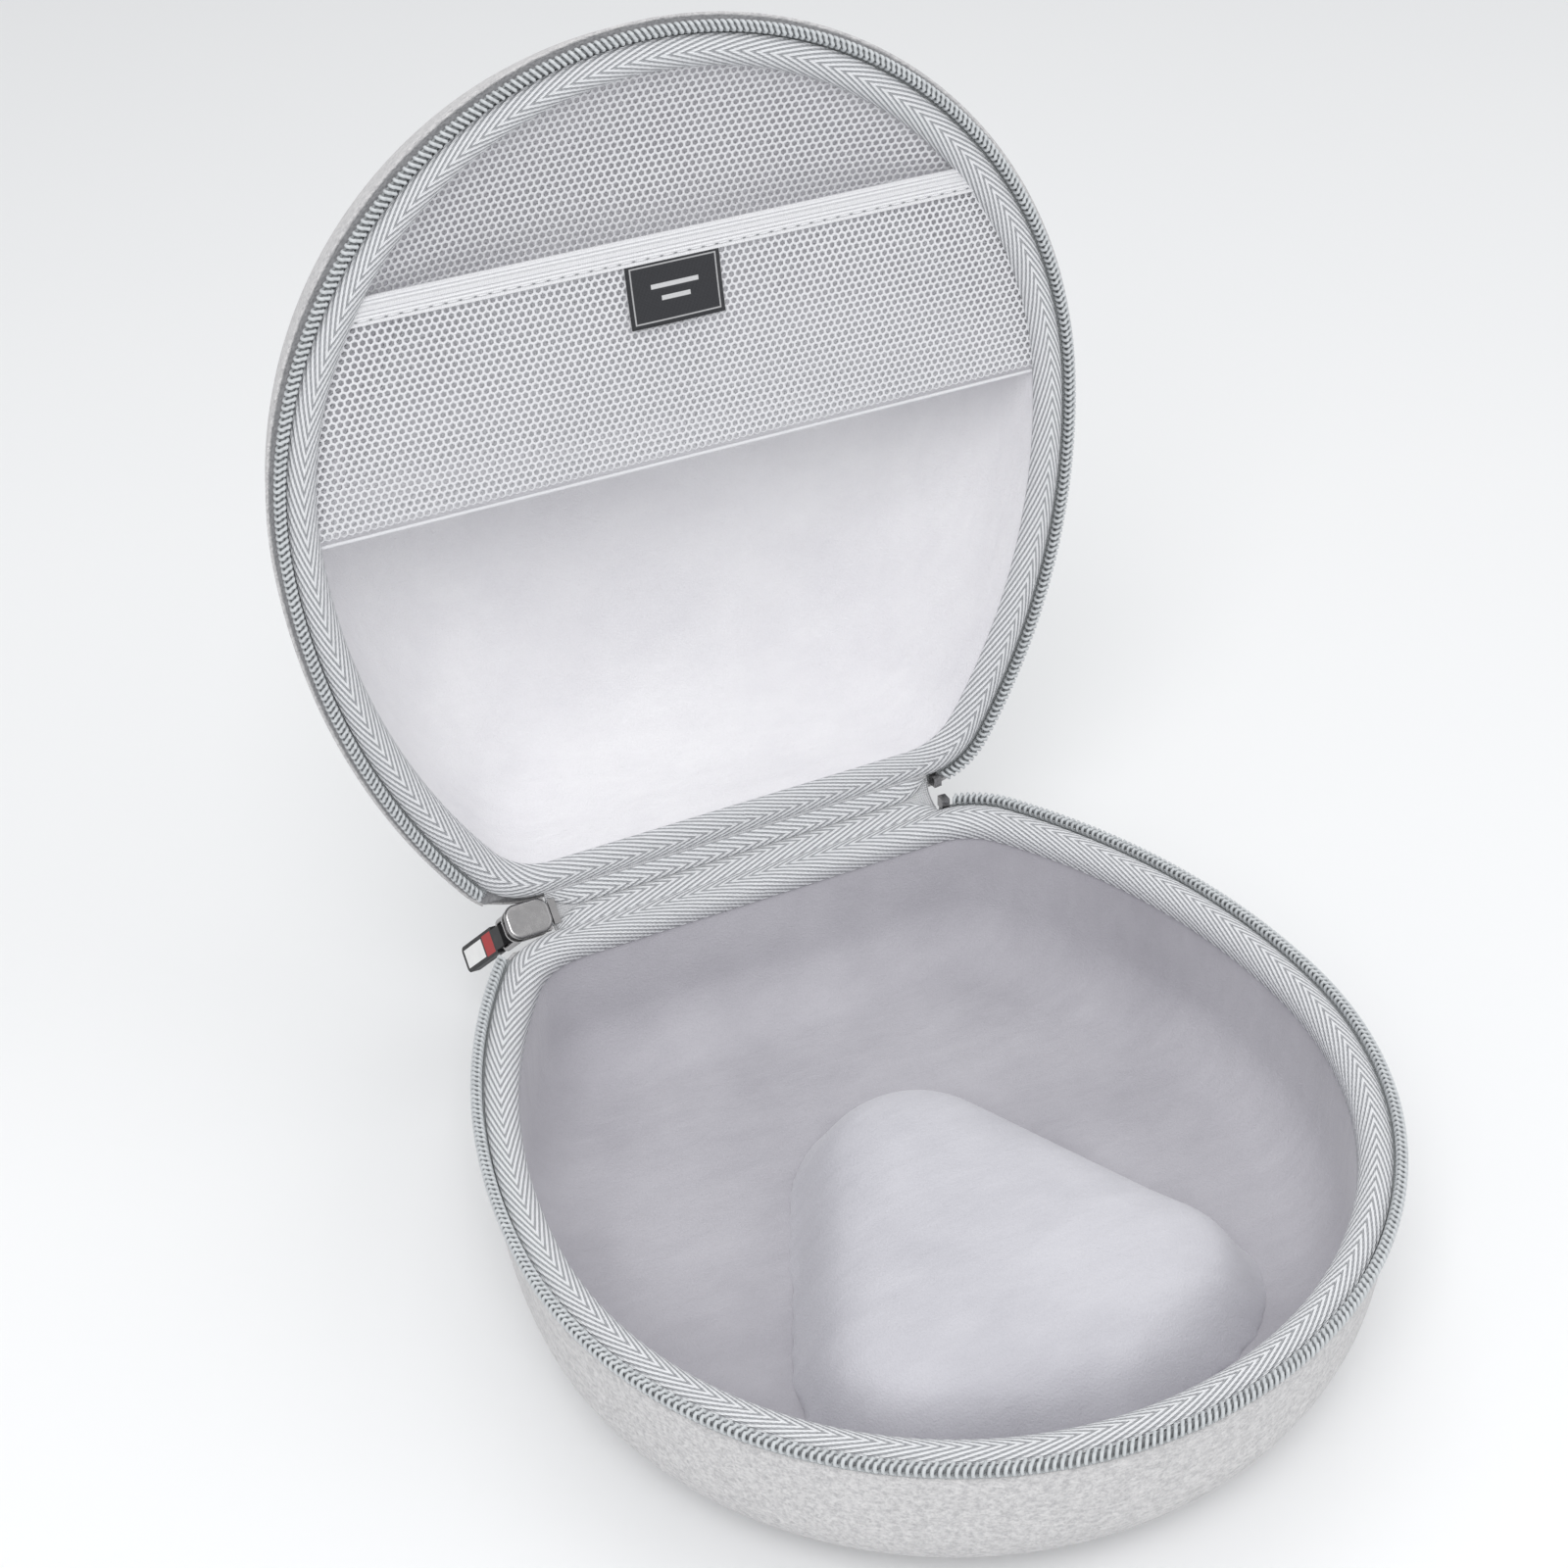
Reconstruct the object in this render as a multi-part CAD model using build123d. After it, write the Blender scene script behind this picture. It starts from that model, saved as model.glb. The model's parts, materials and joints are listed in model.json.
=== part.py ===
from build123d import *
import os
from math import atan2, cos, degrees, exp, radians, sin, sqrt

# Headphone carrying case, open as it is used: a moulded D-shaped base and lid joined by a
# fabric hinge along the flat back, with a coil zip round the rest of the rim.
# Millimetres, +Z up, +Y towards the hinge. The origin is the centre of the base's underside.

# ---------------------------------------------------------------- overall sizes
CASE_WIDTH = 210.0  # across the zip, side to side; the front is half a circle of this width
BACK_REACH = 106.8  # from the centre of the round front to the back of the zip
BASE_HEIGHT = 47.6  # floor to the base's rim
LID_DEPTH = 47.6  # lid's rim to the top of its dome
HINGE_LENGTH = 113.0  # straight stretch of the rim that carries the hinge
CORNER_R = 21.6  # back corners, in plan
CORNER_EASE = 3.6  # how far in the corners take to reach their own inner radius
FLAT_SHARE = 0.75  # how much of that easing is taken from the straight back
OPEN_ANGLE = 97.0  # lid, from closed

# ---------------------------------------------------------------- walls
COVER_T = 0.8  # woven outer cover
LINING_T = 0.8  # velour lining
FLOOR_FOAM = 6.3  # moulded foam under the base's floor
CROWN_FOAM = 4.7  # moulded foam in the lid's dome
BASE_WALL_INSET = 1.0  # base wall, inwards from the zip's outer edge
LID_WALL_INSET = -1.6  # the lid stands a little proud of the zip
CAVITY_INSET = 9.6  # inner edge of both rims
BASE_DRAFT, BASE_EDGE_R = 5.5, 30.0
LID_DRAFT, LID_EDGE_R = 14.0, 46.0
TRAY_DRAFT, TRAY_EDGE_R = 1.0, 16.0
DOME_DRAFT, DOME_EDGE_R = 8.0, 35.0

# ---------------------------------------------------------------- rim, zip and hinge
TAPE_T, TAPE_OUTER, TAPE_INNER = 0.5, 0.6, 7.8  # zip tape and how far in it reaches
BINDING_T, BINDING_OUTER, BINDING_INNER = 0.6, 2.8, 9.5
CHAIN_H, CHAIN_W = 3.2, 2.2  # one row of zip coil, standing on the rim
MEETING_GAP = 0.2  # from each row to the meeting plane
HINGE_OFFSET = 1.5  # hinge line, behind the zip's outer edge
STOP_LENGTH, STOP_PROUD = 2.2, 0.25
LEAF_T, LEAF_DROP = 0.6, 14.0
LEAF_LENGTH = HINGE_LENGTH - 8.0
ZIP_OPEN_X = HINGE_LENGTH / 2 + 0.5  # where the zip starts beside the hinge
CUT_PAST = 1.0  # how far a cutting block runs past what it cuts

# ---------------------------------------------------------------- raised pad in the base
PAD_HEIGHT, PAD_TAPER, PAD_EDGE_R = 20.0, 24.0, 7.0
PAD_LOBES = ((2.0, 13.0, 31.0), (-22.0, -38.0, 31.0), (32.0, -35.0, 30.5), (8.0, -42.0, 32.0))

# ---------------------------------------------------------------- lid pocket, from the hinge
HEM_FROM_HINGE, HEM_W = 110.0, 3.0
ELASTIC_FROM_HINGE, ELASTIC_W, ELASTIC_T = 160.0, 6.5, 1.4
NET_T, NET_CLEAR, POCKET_DEEP = 0.6, 0.4, 9.4
POCKET_SLOPE = 20.0
LABEL_W, LABEL_H, LABEL_T = 24.0, 15.5, 0.4
LABEL_X, LABEL_CLEAR = -1.0, 0.1  # its middle, and its gap to the binding's plane
HEM_CLEAR, HEM_PROUD = 0.4, 0.2

# ---------------------------------------------------------------- slider and its pull
SLIDER_LENGTH, SLIDER_W, PLATE_T = 12.0, 9.2, 1.1
SLIDER_TRAVEL = 3.0
SLIDER_IN = 1.0  # how far the slider reaches over the hinge end of the zip
NOSE = 3.8  # solid front of the slider, ahead of the closed chain
PLATE_CORNER, PLATE_EDGE = 0.36, 0.8  # of the plate's width and thickness
FLANGE_LIP, FLANGE_BACK, FLANGE_SIDE = 0.7, 0.6, 0.25
POST_FROM, POST_GAP, POST_HALF = 0.8, 0.4, 1.1
CHAIN_PAST, CHAIN_STOP_LENGTH = 0.3, 1.8  # closed chain and its stop, past the slider
CHAIN_STOP_T, CHAIN_STOP_W = 0.3, 0.2  # how far the stop stands out of the chain
COIL_T, COIL_W, COIL_CLEAR = 2.2, 6.2, 0.35  # the closed chain inside the slider
GARAGE_R, GARAGE_CLEAR = 7.2, 0.8
GARAGE_PAST = 2.6
BRIDGE_W, BRIDGE_LENGTH, BRIDGE_T = 2.6, 8.6, 0.9
BRIDGE_FOOT, BRIDGE_EDGE = 1.6, 0.6  # rear foot, and edge radius as a share of its thickness
SPRING_FROM, SPRING_TO, SPRING_LIFT, SPRING_T, SPRING_HALF = 0.8, 1.9, 0.1, 0.35, 0.7
WIRE_R, WIRE_CLEAR = 0.75, 0.2
LINK_W, LINK_LENGTH = 7.4, 9.6  # between the wire's centre lines
TAB_LENGTH, TAB_W, TAB_T = 25.0, 7.2, 2.6
TAB_CORNER, EYE_WALL, SHOULDER = 1.6, 1.4, 1.6
INLAY_T, INLAY_SHARE = 0.5, 0.55  # let-in panels, and where the colours meet along the tab
BLOCK_GAP, PANEL_GAP, PANEL_END = 1.0, 0.8, 1.2
BLOCK_MARGIN, PANEL_MARGIN = 1.6, 2.2
LINK_REST = 76.0  # from lying along the zip to standing away from the slider


# ---------------------------------------------------------------- places worked out from those
CASE_DEPTH = CASE_WIDTH / 2 + BACK_REACH
RIM_STACK = TAPE_T + CHAIN_H + MEETING_GAP
HINGE_Y = CASE_DEPTH / 2 + HINGE_OFFSET
HINGE_Z = BASE_HEIGHT + RIM_STACK
LID_RIM = HINGE_Z + RIM_STACK
MID_Y = (CASE_WIDTH - CASE_DEPTH) / 2  # centre of the round front
SLIDER_X = -HINGE_LENGTH / 2 - SLIDER_LENGTH / 2 + SLIDER_IN
GARAGE_FROM = SLIDER_X - SLIDER_LENGTH / 2 - SLIDER_TRAVEL - GARAGE_CLEAR
GARAGE_TO = SLIDER_X + SLIDER_LENGTH / 2 + GARAGE_PAST


def rim_face(inset, height):
    """D-shaped face: the rim's outline, moved in by inset, at a height."""
    soft_r = CORNER_R - CORNER_EASE + CORNER_EASE * exp(-inset / CORNER_EASE)
    widening = soft_r - (CORNER_R - inset)
    half = CASE_WIDTH / 2 - inset
    flat = HINGE_LENGTH / 2 - FLAT_SHARE * widening
    back = CASE_DEPTH / 2 - inset
    rise = back - soft_r - MID_Y
    reach = half - flat
    side_r = (reach**2 + rise**2 - soft_r**2) / (2 * (reach - soft_r))
    turn = degrees(atan2(rise, flat - half + side_r))
    edges = [
        CenterArc((0, MID_Y), half, 180, 180),
        CenterArc((half - side_r, MID_Y), side_r, 0, turn),
        CenterArc((flat, back - soft_r), soft_r, turn, 90 - turn),
        Line((flat, back), (-flat, back)),
        CenterArc((-flat, back - soft_r), soft_r, 90, 90 - turn),
        CenterArc((side_r - half, MID_Y), side_r, 180 - turn, turn),
    ]
    return Pos(0, 0, height) * make_face(Curve() + edges)


def bowl(rim_inset, draft, edge_r, depth, shrink, rim_z, way, steps=5):
    """Solid bowl from its rim to its crown, every surface moved in by shrink."""
    lean = radians(draft)
    straight = depth - edge_r + edge_r * sin(lean)
    centre = rim_inset + straight * sin(lean) / cos(lean) + edge_r * cos(lean)
    radius = edge_r - shrink
    rim_at = rim_inset + shrink / cos(lean)
    stations = [(rim_at, 0.0)]
    for step in range(steps + 1):
        angle = lean + (radians(90) - lean) * step / steps
        stations.append((centre - radius * cos(angle), depth - edge_r + radius * sin(angle)))
    faces = [rim_face(inset, rim_z + way * height) for inset, height in stations]
    return loft(faces, ruled=True)


def ring(outer, inner, low, high):
    """Flat band that follows the rim between two insets."""
    return extrude(rim_face(outer, low) - rim_face(inner, low), high - low, dir=(0, 0, 1))


def block(x0, x1, y0, y1, z0, z1):
    """Box between two corners."""
    return Pos((x0 + x1) / 2, (y0 + y1) / 2, (z0 + z1) / 2) * Box(x1 - x0, y1 - y0, z1 - z0)


def about_hinge(shape, turn):
    """Turn a shape about the hinge line, opening positive."""
    return Pos(0, HINGE_Y, HINGE_Z) * Rot(-turn, 0, 0) * Pos(0, -HINGE_Y, -HINGE_Z) * shape


def along_x(radius, x0, x1):
    """Round bar on the hinge line."""
    return Pos((x0 + x1) / 2, HINGE_Y, HINGE_Z) * Rot(0, 90, 0) * Cylinder(radius, x1 - x0)


garage = along_x(GARAGE_R, GARAGE_FROM, GARAGE_TO)
zip_gap = block(GARAGE_FROM, ZIP_OPEN_X, CASE_DEPTH / 4, CASE_DEPTH, 0, 2 * HINGE_Z)
zip_stop_span = block(ZIP_OPEN_X, ZIP_OPEN_X + STOP_LENGTH, CASE_DEPTH / 4, CASE_DEPTH, 0, 2 * HINGE_Z)
zip_gap_and_stop = zip_gap + block(
    ZIP_OPEN_X - CUT_PAST,
    ZIP_OPEN_X + STOP_LENGTH + MEETING_GAP / 2,
    CASE_DEPTH / 4,
    CASE_DEPTH,
    0,
    2 * HINGE_Z,
)


def rim_set(rim_z, way):
    """Zip tape, coil row, coil stop and binding of one rim; way is +1 on the base, -1 on the lid."""

    def band(outer, inner, near, far):
        low, high = sorted((rim_z + way * near, rim_z + way * far))
        return ring(outer, inner, low, high)

    tape = band(TAPE_OUTER, TAPE_INNER, 0, TAPE_T) - zip_gap
    chain = band(0, CHAIN_W, TAPE_T, TAPE_T + CHAIN_H) - zip_gap_and_stop
    stop = band(-STOP_PROUD, CHAIN_W + STOP_PROUD, TAPE_T, TAPE_T + CHAIN_H) & zip_stop_span
    binding = band(BINDING_OUTER, BINDING_INNER, TAPE_T, TAPE_T + BINDING_T) - garage
    return tape, chain, stop, binding


# ---------------------------------------------------------------- base
tray_depth = BASE_HEIGHT - COVER_T - FLOOR_FOAM - LINING_T
base_out = bowl(BASE_WALL_INSET, BASE_DRAFT, BASE_EDGE_R, BASE_HEIGHT, 0, BASE_HEIGHT, -1)
base_mid = bowl(BASE_WALL_INSET, BASE_DRAFT, BASE_EDGE_R, BASE_HEIGHT, COVER_T, BASE_HEIGHT, -1)
tray_out = bowl(CAVITY_INSET, TRAY_DRAFT, TRAY_EDGE_R, tray_depth, -LINING_T, BASE_HEIGHT, -1)
tray_in = bowl(CAVITY_INSET, TRAY_DRAFT, TRAY_EDGE_R, tray_depth, 0, BASE_HEIGHT, -1)


def pad_solid(grow, floor_z, height):
    """Soft-edged raised pad: the outline drawn round its lobes, tapered and rounded on top."""
    circles = [Pos(x, y) * Circle(r + grow) for x, y, r in PAD_LOBES]
    outline = make_hull([edge for circle in circles for edge in circle.edges()])
    pad = extrude(Pos(0, 0, floor_z) * outline, height, taper=PAD_TAPER)
    return fillet(pad.faces().sort_by(Axis.Z)[-1].edges(), PAD_EDGE_R)


tray_floor = COVER_T + FLOOR_FOAM + LINING_T
pad_core = pad_solid(0, tray_floor, PAD_HEIGHT)
pad_skin = pad_solid(LINING_T, tray_floor - LINING_T / 2, PAD_HEIGHT + 1.5 * LINING_T)

base_cover = base_out - base_mid - garage
base_shell = base_mid - tray_out - garage
base_lining = (tray_out - tray_in) + (pad_skin - pad_core)
base_tape, base_chain, base_stop, base_binding = rim_set(BASE_HEIGHT, 1)

base_wall_y = CASE_DEPTH / 2 - BASE_WALL_INSET
leaf_skin = bowl(BASE_WALL_INSET, BASE_DRAFT, BASE_EDGE_R, BASE_HEIGHT, -LEAF_T, BASE_HEIGHT, -1) - base_out
leaf_span = block(
    -LEAF_LENGTH / 2, LEAF_LENGTH / 2, CASE_DEPTH / 4, CASE_DEPTH, BASE_HEIGHT - LEAF_DROP, BASE_HEIGHT
)
base_leaf = (leaf_skin & leaf_span) + block(
    -LEAF_LENGTH / 2,
    LEAF_LENGTH / 2,
    base_wall_y,
    base_wall_y + LEAF_T,
    BASE_HEIGHT,
    HINGE_Z - 2 * MEETING_GAP,
)

# ---------------------------------------------------------------- lid, drawn closed
dome_depth = LID_DEPTH - COVER_T - CROWN_FOAM - LINING_T
lid_out = bowl(LID_WALL_INSET, LID_DRAFT, LID_EDGE_R, LID_DEPTH, 0, LID_RIM, 1)
lid_mid = bowl(LID_WALL_INSET, LID_DRAFT, LID_EDGE_R, LID_DEPTH, COVER_T, LID_RIM, 1)
dome_out = bowl(CAVITY_INSET, DOME_DRAFT, DOME_EDGE_R, dome_depth, -LINING_T, LID_RIM, 1)
dome_in = bowl(CAVITY_INSET, DOME_DRAFT, DOME_EDGE_R, dome_depth, 0, LID_RIM, 1)
lid_cover = lid_out - lid_mid - garage
lid_shell = lid_mid - dome_out - garage
lid_lining = dome_out - dome_in
lid_tape, lid_chain, lid_stop, lid_binding = rim_set(LID_RIM, -1)

lid_wall_y = CASE_DEPTH / 2 - LID_WALL_INSET
lid_leaf_skin = bowl(LID_WALL_INSET, LID_DRAFT, LID_EDGE_R, LID_DEPTH, -LEAF_T, LID_RIM, 1) - lid_out
lid_leaf_span = block(
    -LEAF_LENGTH / 2, LEAF_LENGTH / 2, CASE_DEPTH / 4, CASE_DEPTH, LID_RIM, LID_RIM + LEAF_DROP
)
lid_leaf = (lid_leaf_skin & lid_leaf_span) + block(
    -LEAF_LENGTH / 2,
    LEAF_LENGTH / 2,
    lid_wall_y - LEAF_T,
    lid_wall_y + LEAF_T,
    HINGE_Z + 2 * MEETING_GAP,
    LID_RIM,
)

# ---------------------------------------------------------------- lid pocket, drawn closed
net_r = CASE_WIDTH / 2 - CAVITY_INSET - NET_CLEAR
hem_y = HINGE_Y - HEM_FROM_HINGE
elastic_y = HINGE_Y - ELASTIC_FROM_HINGE


def net_face(shrink, chord_y, height):
    """Part of the round front beyond a straight chord."""
    disc = Pos(0, MID_Y) * Circle(net_r - shrink)
    keep = Pos(0, chord_y - CASE_DEPTH / 2) * Rectangle(2 * CASE_WIDTH, CASE_DEPTH)
    return Pos(0, 0, height) * (disc & keep)


def pan(shrink, height):
    """Solid under the sagging back net, from its edge down into the dome."""
    edge_z = LID_RIM + 2 * NET_T + NET_CLEAR
    sides = net_face(shrink, hem_y - HEM_W - shrink, edge_z)
    floor = net_face(POCKET_SLOPE + shrink, hem_y - POCKET_SLOPE - shrink, edge_z + height)
    return loft([sides, floor], ruled=True)


back_net = pan(0, POCKET_DEEP) - pan(NET_T, POCKET_DEEP - NET_T)
front_net = extrude(
    net_face(0, hem_y - HEM_W, LID_RIM + NET_T) - net_face(-1, elastic_y, LID_RIM + NET_T), NET_T, dir=(0, 0, 1)
)
hem_half = sqrt(net_r**2 - (hem_y - HEM_W - MID_Y) ** 2)
hem_z = LID_RIM + HEM_CLEAR
hem = block(-hem_half, hem_half, hem_y - HEM_W, hem_y, hem_z, hem_z + 2 * NET_T + HEM_PROUD)
elastic_z = LID_RIM + 1.5 * NET_T - ELASTIC_T / 2
elastic = extrude(
    net_face(0, elastic_y, elastic_z) - net_face(-1, elastic_y - ELASTIC_W, elastic_z), ELASTIC_T, dir=(0, 0, 1)
)
label = block(
    LABEL_X - LABEL_W / 2,
    LABEL_X + LABEL_W / 2,
    elastic_y,
    elastic_y + LABEL_H,
    LID_RIM + LABEL_CLEAR,
    LID_RIM + LABEL_CLEAR + LABEL_T,
)

# ---------------------------------------------------------------- slider, drawn with the case shut
# Local axes: X along the hinge, Y away from the case, Z across the two coil rows.
channel = COIL_T / 2 + COIL_CLEAR
skin_y = channel + PLATE_T
coil_from = SLIDER_X - SLIDER_LENGTH / 2 + NOSE
coil_to = SLIDER_X + SLIDER_LENGTH / 2 + CHAIN_PAST


def plate(near, far):
    """One rounded plate of the slider."""
    outline = Pos(SLIDER_X, 0) * RectangleRounded(SLIDER_LENGTH, SLIDER_W, SLIDER_W * PLATE_CORNER)
    solid = extrude(Plane.XZ * outline, far - near)
    solid = Pos(0, far - solid.bounding_box().max.Y, 0) * solid
    return solid


flange_in = COIL_W / 2 + COIL_CLEAR
flanges = [
    block(coil_from, SLIDER_X + SLIDER_LENGTH / 2 - FLANGE_BACK, y0, y1, z0, z1)
    for y0, y1 in ((FLANGE_LIP, channel), (-channel, -FLANGE_LIP))
    for z0, z1 in ((flange_in, SLIDER_W / 2 - FLANGE_SIDE), (FLANGE_SIDE - SLIDER_W / 2, -flange_in))
]
post = block(
    SLIDER_X - SLIDER_LENGTH / 2 + POST_FROM, coil_from - POST_GAP, -channel, channel, -POST_HALF, POST_HALF
)
outer_plate = plate(channel, skin_y)
inner_plate = plate(-skin_y, -channel)
inner_plate = fillet(inner_plate.faces().sort_by(Axis.Y)[0].edges(), PLATE_T * PLATE_EDGE)
slider_body = outer_plate + inner_plate + post + flanges

pivot_y = skin_y + WIRE_R + WIRE_CLEAR
pivot_x = SLIDER_X - BRIDGE_LENGTH / 2 + BRIDGE_T + WIRE_R + WIRE_CLEAR
bridge_top = pivot_y + WIRE_R + WIRE_CLEAR + BRIDGE_T
bridge = block(
    SLIDER_X - BRIDGE_LENGTH / 2, SLIDER_X + BRIDGE_LENGTH / 2, skin_y, bridge_top, -BRIDGE_W / 2, BRIDGE_W / 2
)
bridge = fillet(bridge.faces().sort_by(Axis.Y)[-1].edges(), BRIDGE_T * BRIDGE_EDGE)
window = block(
    SLIDER_X - BRIDGE_LENGTH / 2 + BRIDGE_T,
    SLIDER_X + BRIDGE_LENGTH / 2 - BRIDGE_FOOT,
    skin_y,
    bridge_top - BRIDGE_T,
    -BRIDGE_W,
    BRIDGE_W,
)
bridge = bridge - window
lock_spring = block(
    pivot_x + WIRE_R + SPRING_FROM,
    SLIDER_X + BRIDGE_LENGTH / 2 - SPRING_TO,
    skin_y + SPRING_LIFT,
    skin_y + SPRING_LIFT + SPRING_T,
    -SPRING_HALF,
    SPRING_HALF,
)
parked_coil = block(coil_from, coil_to, -COIL_T / 2, COIL_T / 2, -COIL_W / 2, COIL_W / 2)
coil_stop = block(
    coil_to,
    coil_to + CHAIN_STOP_LENGTH,
    -COIL_T / 2 - CHAIN_STOP_T,
    COIL_T / 2 + CHAIN_STOP_T,
    -COIL_W / 2 - CHAIN_STOP_W,
    COIL_W / 2 + CHAIN_STOP_W,
)

# the link lies along -X from its pivot, then turns to its rest angle
link_frame = Plane.XZ * RectangleRounded(LINK_LENGTH, LINK_W, 2 * WIRE_R)
link_path = (Pos(pivot_x - LINK_LENGTH / 2, pivot_y, 0) * link_frame).wire()


def pull_link():
    """Rectangular ring of round wire."""
    start = link_path @ 0
    section = Plane(origin=start, z_dir=link_path % 0) * Circle(WIRE_R)
    return sweep(section, path=link_path)


eye_x = pivot_x - LINK_LENGTH
tab_top = eye_x + WIRE_R + WIRE_CLEAR + EYE_WALL
tab_end = tab_top - TAB_LENGTH
tab_flat = Pos((tab_top + tab_end) / 2, 0) * RectangleRounded(TAB_LENGTH, TAB_W, TAB_CORNER)
tab = extrude(Plane.XZ * tab_flat, TAB_T / 2, both=True)
tab = Pos(0, pivot_y, 0) * tab
loop_w = LINK_W - 2 * WIRE_R - 2 * WIRE_CLEAR
shoulder = eye_x - WIRE_R - SHOULDER
neck = block(shoulder, tab_top + CUT_PAST, pivot_y - TAB_T, pivot_y + TAB_T, -TAB_W, TAB_W) - block(
    shoulder - CUT_PAST,
    tab_top + 2 * CUT_PAST,
    pivot_y - 2 * TAB_T,
    pivot_y + 2 * TAB_T,
    -loop_w / 2,
    loop_w / 2,
)
eye_hole = Pos(eye_x, pivot_y, 0) * Cylinder(WIRE_R + WIRE_CLEAR, 3 * TAB_W)
inlay_y = pivot_y + TAB_T / 2 - INLAY_T


def inlay(x0, x1, width, side):
    """Shallow coloured panel let into one face of the tab."""
    y0 = inlay_y if side > 0 else pivot_y - TAB_T / 2
    return block(x0, x1, y0, y0 + INLAY_T, -width / 2, width / 2)


colour_from = tab_end + TAB_LENGTH * INLAY_SHARE
tab_block = [inlay(colour_from, shoulder - BLOCK_GAP, TAB_W - BLOCK_MARGIN, side) for side in (1, -1)]
panel_from, panel_to = tab_end + PANEL_END, colour_from - PANEL_GAP
tab_panel = [inlay(panel_from, panel_to, TAB_W - PANEL_MARGIN, side) for side in (1, -1)]
tab = tab - neck - eye_hole - tab_block - tab_panel


def stand_off(shape):
    """Turn the pull's pieces from lying along the zip to their rest angle."""
    return Pos(pivot_x, pivot_y, 0) * Rot(0, 0, -LINK_REST) * Pos(-pivot_x, -pivot_y, 0) * shape


def on_hinge(shape):
    """Place a piece drawn about the X axis on the hinge line, halfway between base and lid."""
    return Pos(0, HINGE_Y, HINGE_Z) * Rot(-OPEN_ANGLE / 2, 0, 0) * shape


# ---------------------------------------------------------------- the nodes
nodes = {
    "base_cover": base_cover,
    "base_shell": base_shell,
    "base_lining": base_lining,
    "pad_core": pad_core,
    "base_binding": base_binding,
    "base_zip_tape": base_tape,
    "base_zip_chain": base_chain,
    "base_zip_stop": base_stop,
    "base_hinge_leaf": base_leaf,
    "parked_zip_chain": on_hinge(parked_coil),
    "zip_end_stop": on_hinge(coil_stop),
    "slider_body": on_hinge(slider_body),
    "slider_bridge": on_hinge(bridge),
    "slider_lock_spring": on_hinge(lock_spring),
    "pull_link": on_hinge(stand_off(pull_link())),
    "pull_tab": on_hinge(stand_off(tab)),
    "pull_tab_block": on_hinge(stand_off(Part() + tab_block)),
    "pull_tab_panel": on_hinge(stand_off(Part() + tab_panel)),
}
closed_lid = {
    "lid_cover": lid_cover,
    "lid_shell": lid_shell,
    "lid_lining": lid_lining,
    "lid_binding": lid_binding,
    "lid_zip_tape": lid_tape,
    "lid_zip_chain": lid_chain,
    "lid_zip_stop": lid_stop,
    "lid_hinge_leaf": lid_leaf,
    "pocket_back_net": back_net,
    "pocket_front_net": front_net,
    "pocket_hem": hem,
    "pocket_elastic": elastic,
    "pocket_label": label,
}
for name, shape in closed_lid.items():
    nodes[name] = about_hinge(shape, OPEN_ANGLE)

os.makedirs("parts", exist_ok=True)
for name, shape in nodes.items():
    export_step(shape, f"parts/{name}.step")
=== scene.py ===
import json
from math import atan2, cos, exp, pi, radians, sin, sqrt, tan

import bmesh
import bpy
import numpy as np
from mathutils import Matrix, Vector


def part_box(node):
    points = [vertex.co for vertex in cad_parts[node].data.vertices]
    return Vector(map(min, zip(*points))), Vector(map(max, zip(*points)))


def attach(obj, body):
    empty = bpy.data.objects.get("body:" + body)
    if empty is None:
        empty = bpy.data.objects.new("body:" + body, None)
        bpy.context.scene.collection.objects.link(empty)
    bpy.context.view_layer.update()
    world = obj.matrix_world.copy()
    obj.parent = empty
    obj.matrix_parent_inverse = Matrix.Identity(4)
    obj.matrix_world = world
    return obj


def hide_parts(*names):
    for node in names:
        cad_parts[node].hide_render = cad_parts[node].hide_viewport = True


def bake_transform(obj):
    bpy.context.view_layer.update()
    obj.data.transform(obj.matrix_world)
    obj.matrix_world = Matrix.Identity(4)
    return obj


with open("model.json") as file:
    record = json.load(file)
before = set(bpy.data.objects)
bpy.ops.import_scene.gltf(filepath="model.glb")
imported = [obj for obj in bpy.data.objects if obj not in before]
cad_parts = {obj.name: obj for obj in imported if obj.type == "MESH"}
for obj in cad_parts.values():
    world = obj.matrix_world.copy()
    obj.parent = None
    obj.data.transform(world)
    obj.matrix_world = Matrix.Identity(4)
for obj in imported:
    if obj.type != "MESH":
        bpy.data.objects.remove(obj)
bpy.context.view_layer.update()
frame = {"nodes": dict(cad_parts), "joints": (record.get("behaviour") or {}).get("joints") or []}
MM = 0.001

# ---------------------------------------------------------------- camera, floor and light
# A white table-top with a large soft box over the left shoulder of the viewer, a weaker one
# on the right, and bright surroundings, so that pale cloth keeps its shape without hard shade.
CAMERA_AT = Vector((-0.2039, -0.3683, 0.4420))
LOOKING, LOOKING_DOWN, TILTED = radians(-24.41), radians(35.49), radians(-2.17)
LENS = 56.37
FLOOR_SIZE = 6.0
FLOOR_WHITE = (0.86, 0.865, 0.87, 1.0)
ROOM_WHITE, ROOM_LEVEL = (0.98, 0.99, 1.0, 1.0), 0.70
SOFT_BOXES = (
    ("key", (-0.55, -0.80, 1.25), 0.9, 11.0),
    ("fill", (1.05, -0.55, 0.85), 1.2, 2.6),
    ("top", (0.15, 0.35, 1.45), 1.0, 2.6),
)

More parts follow.
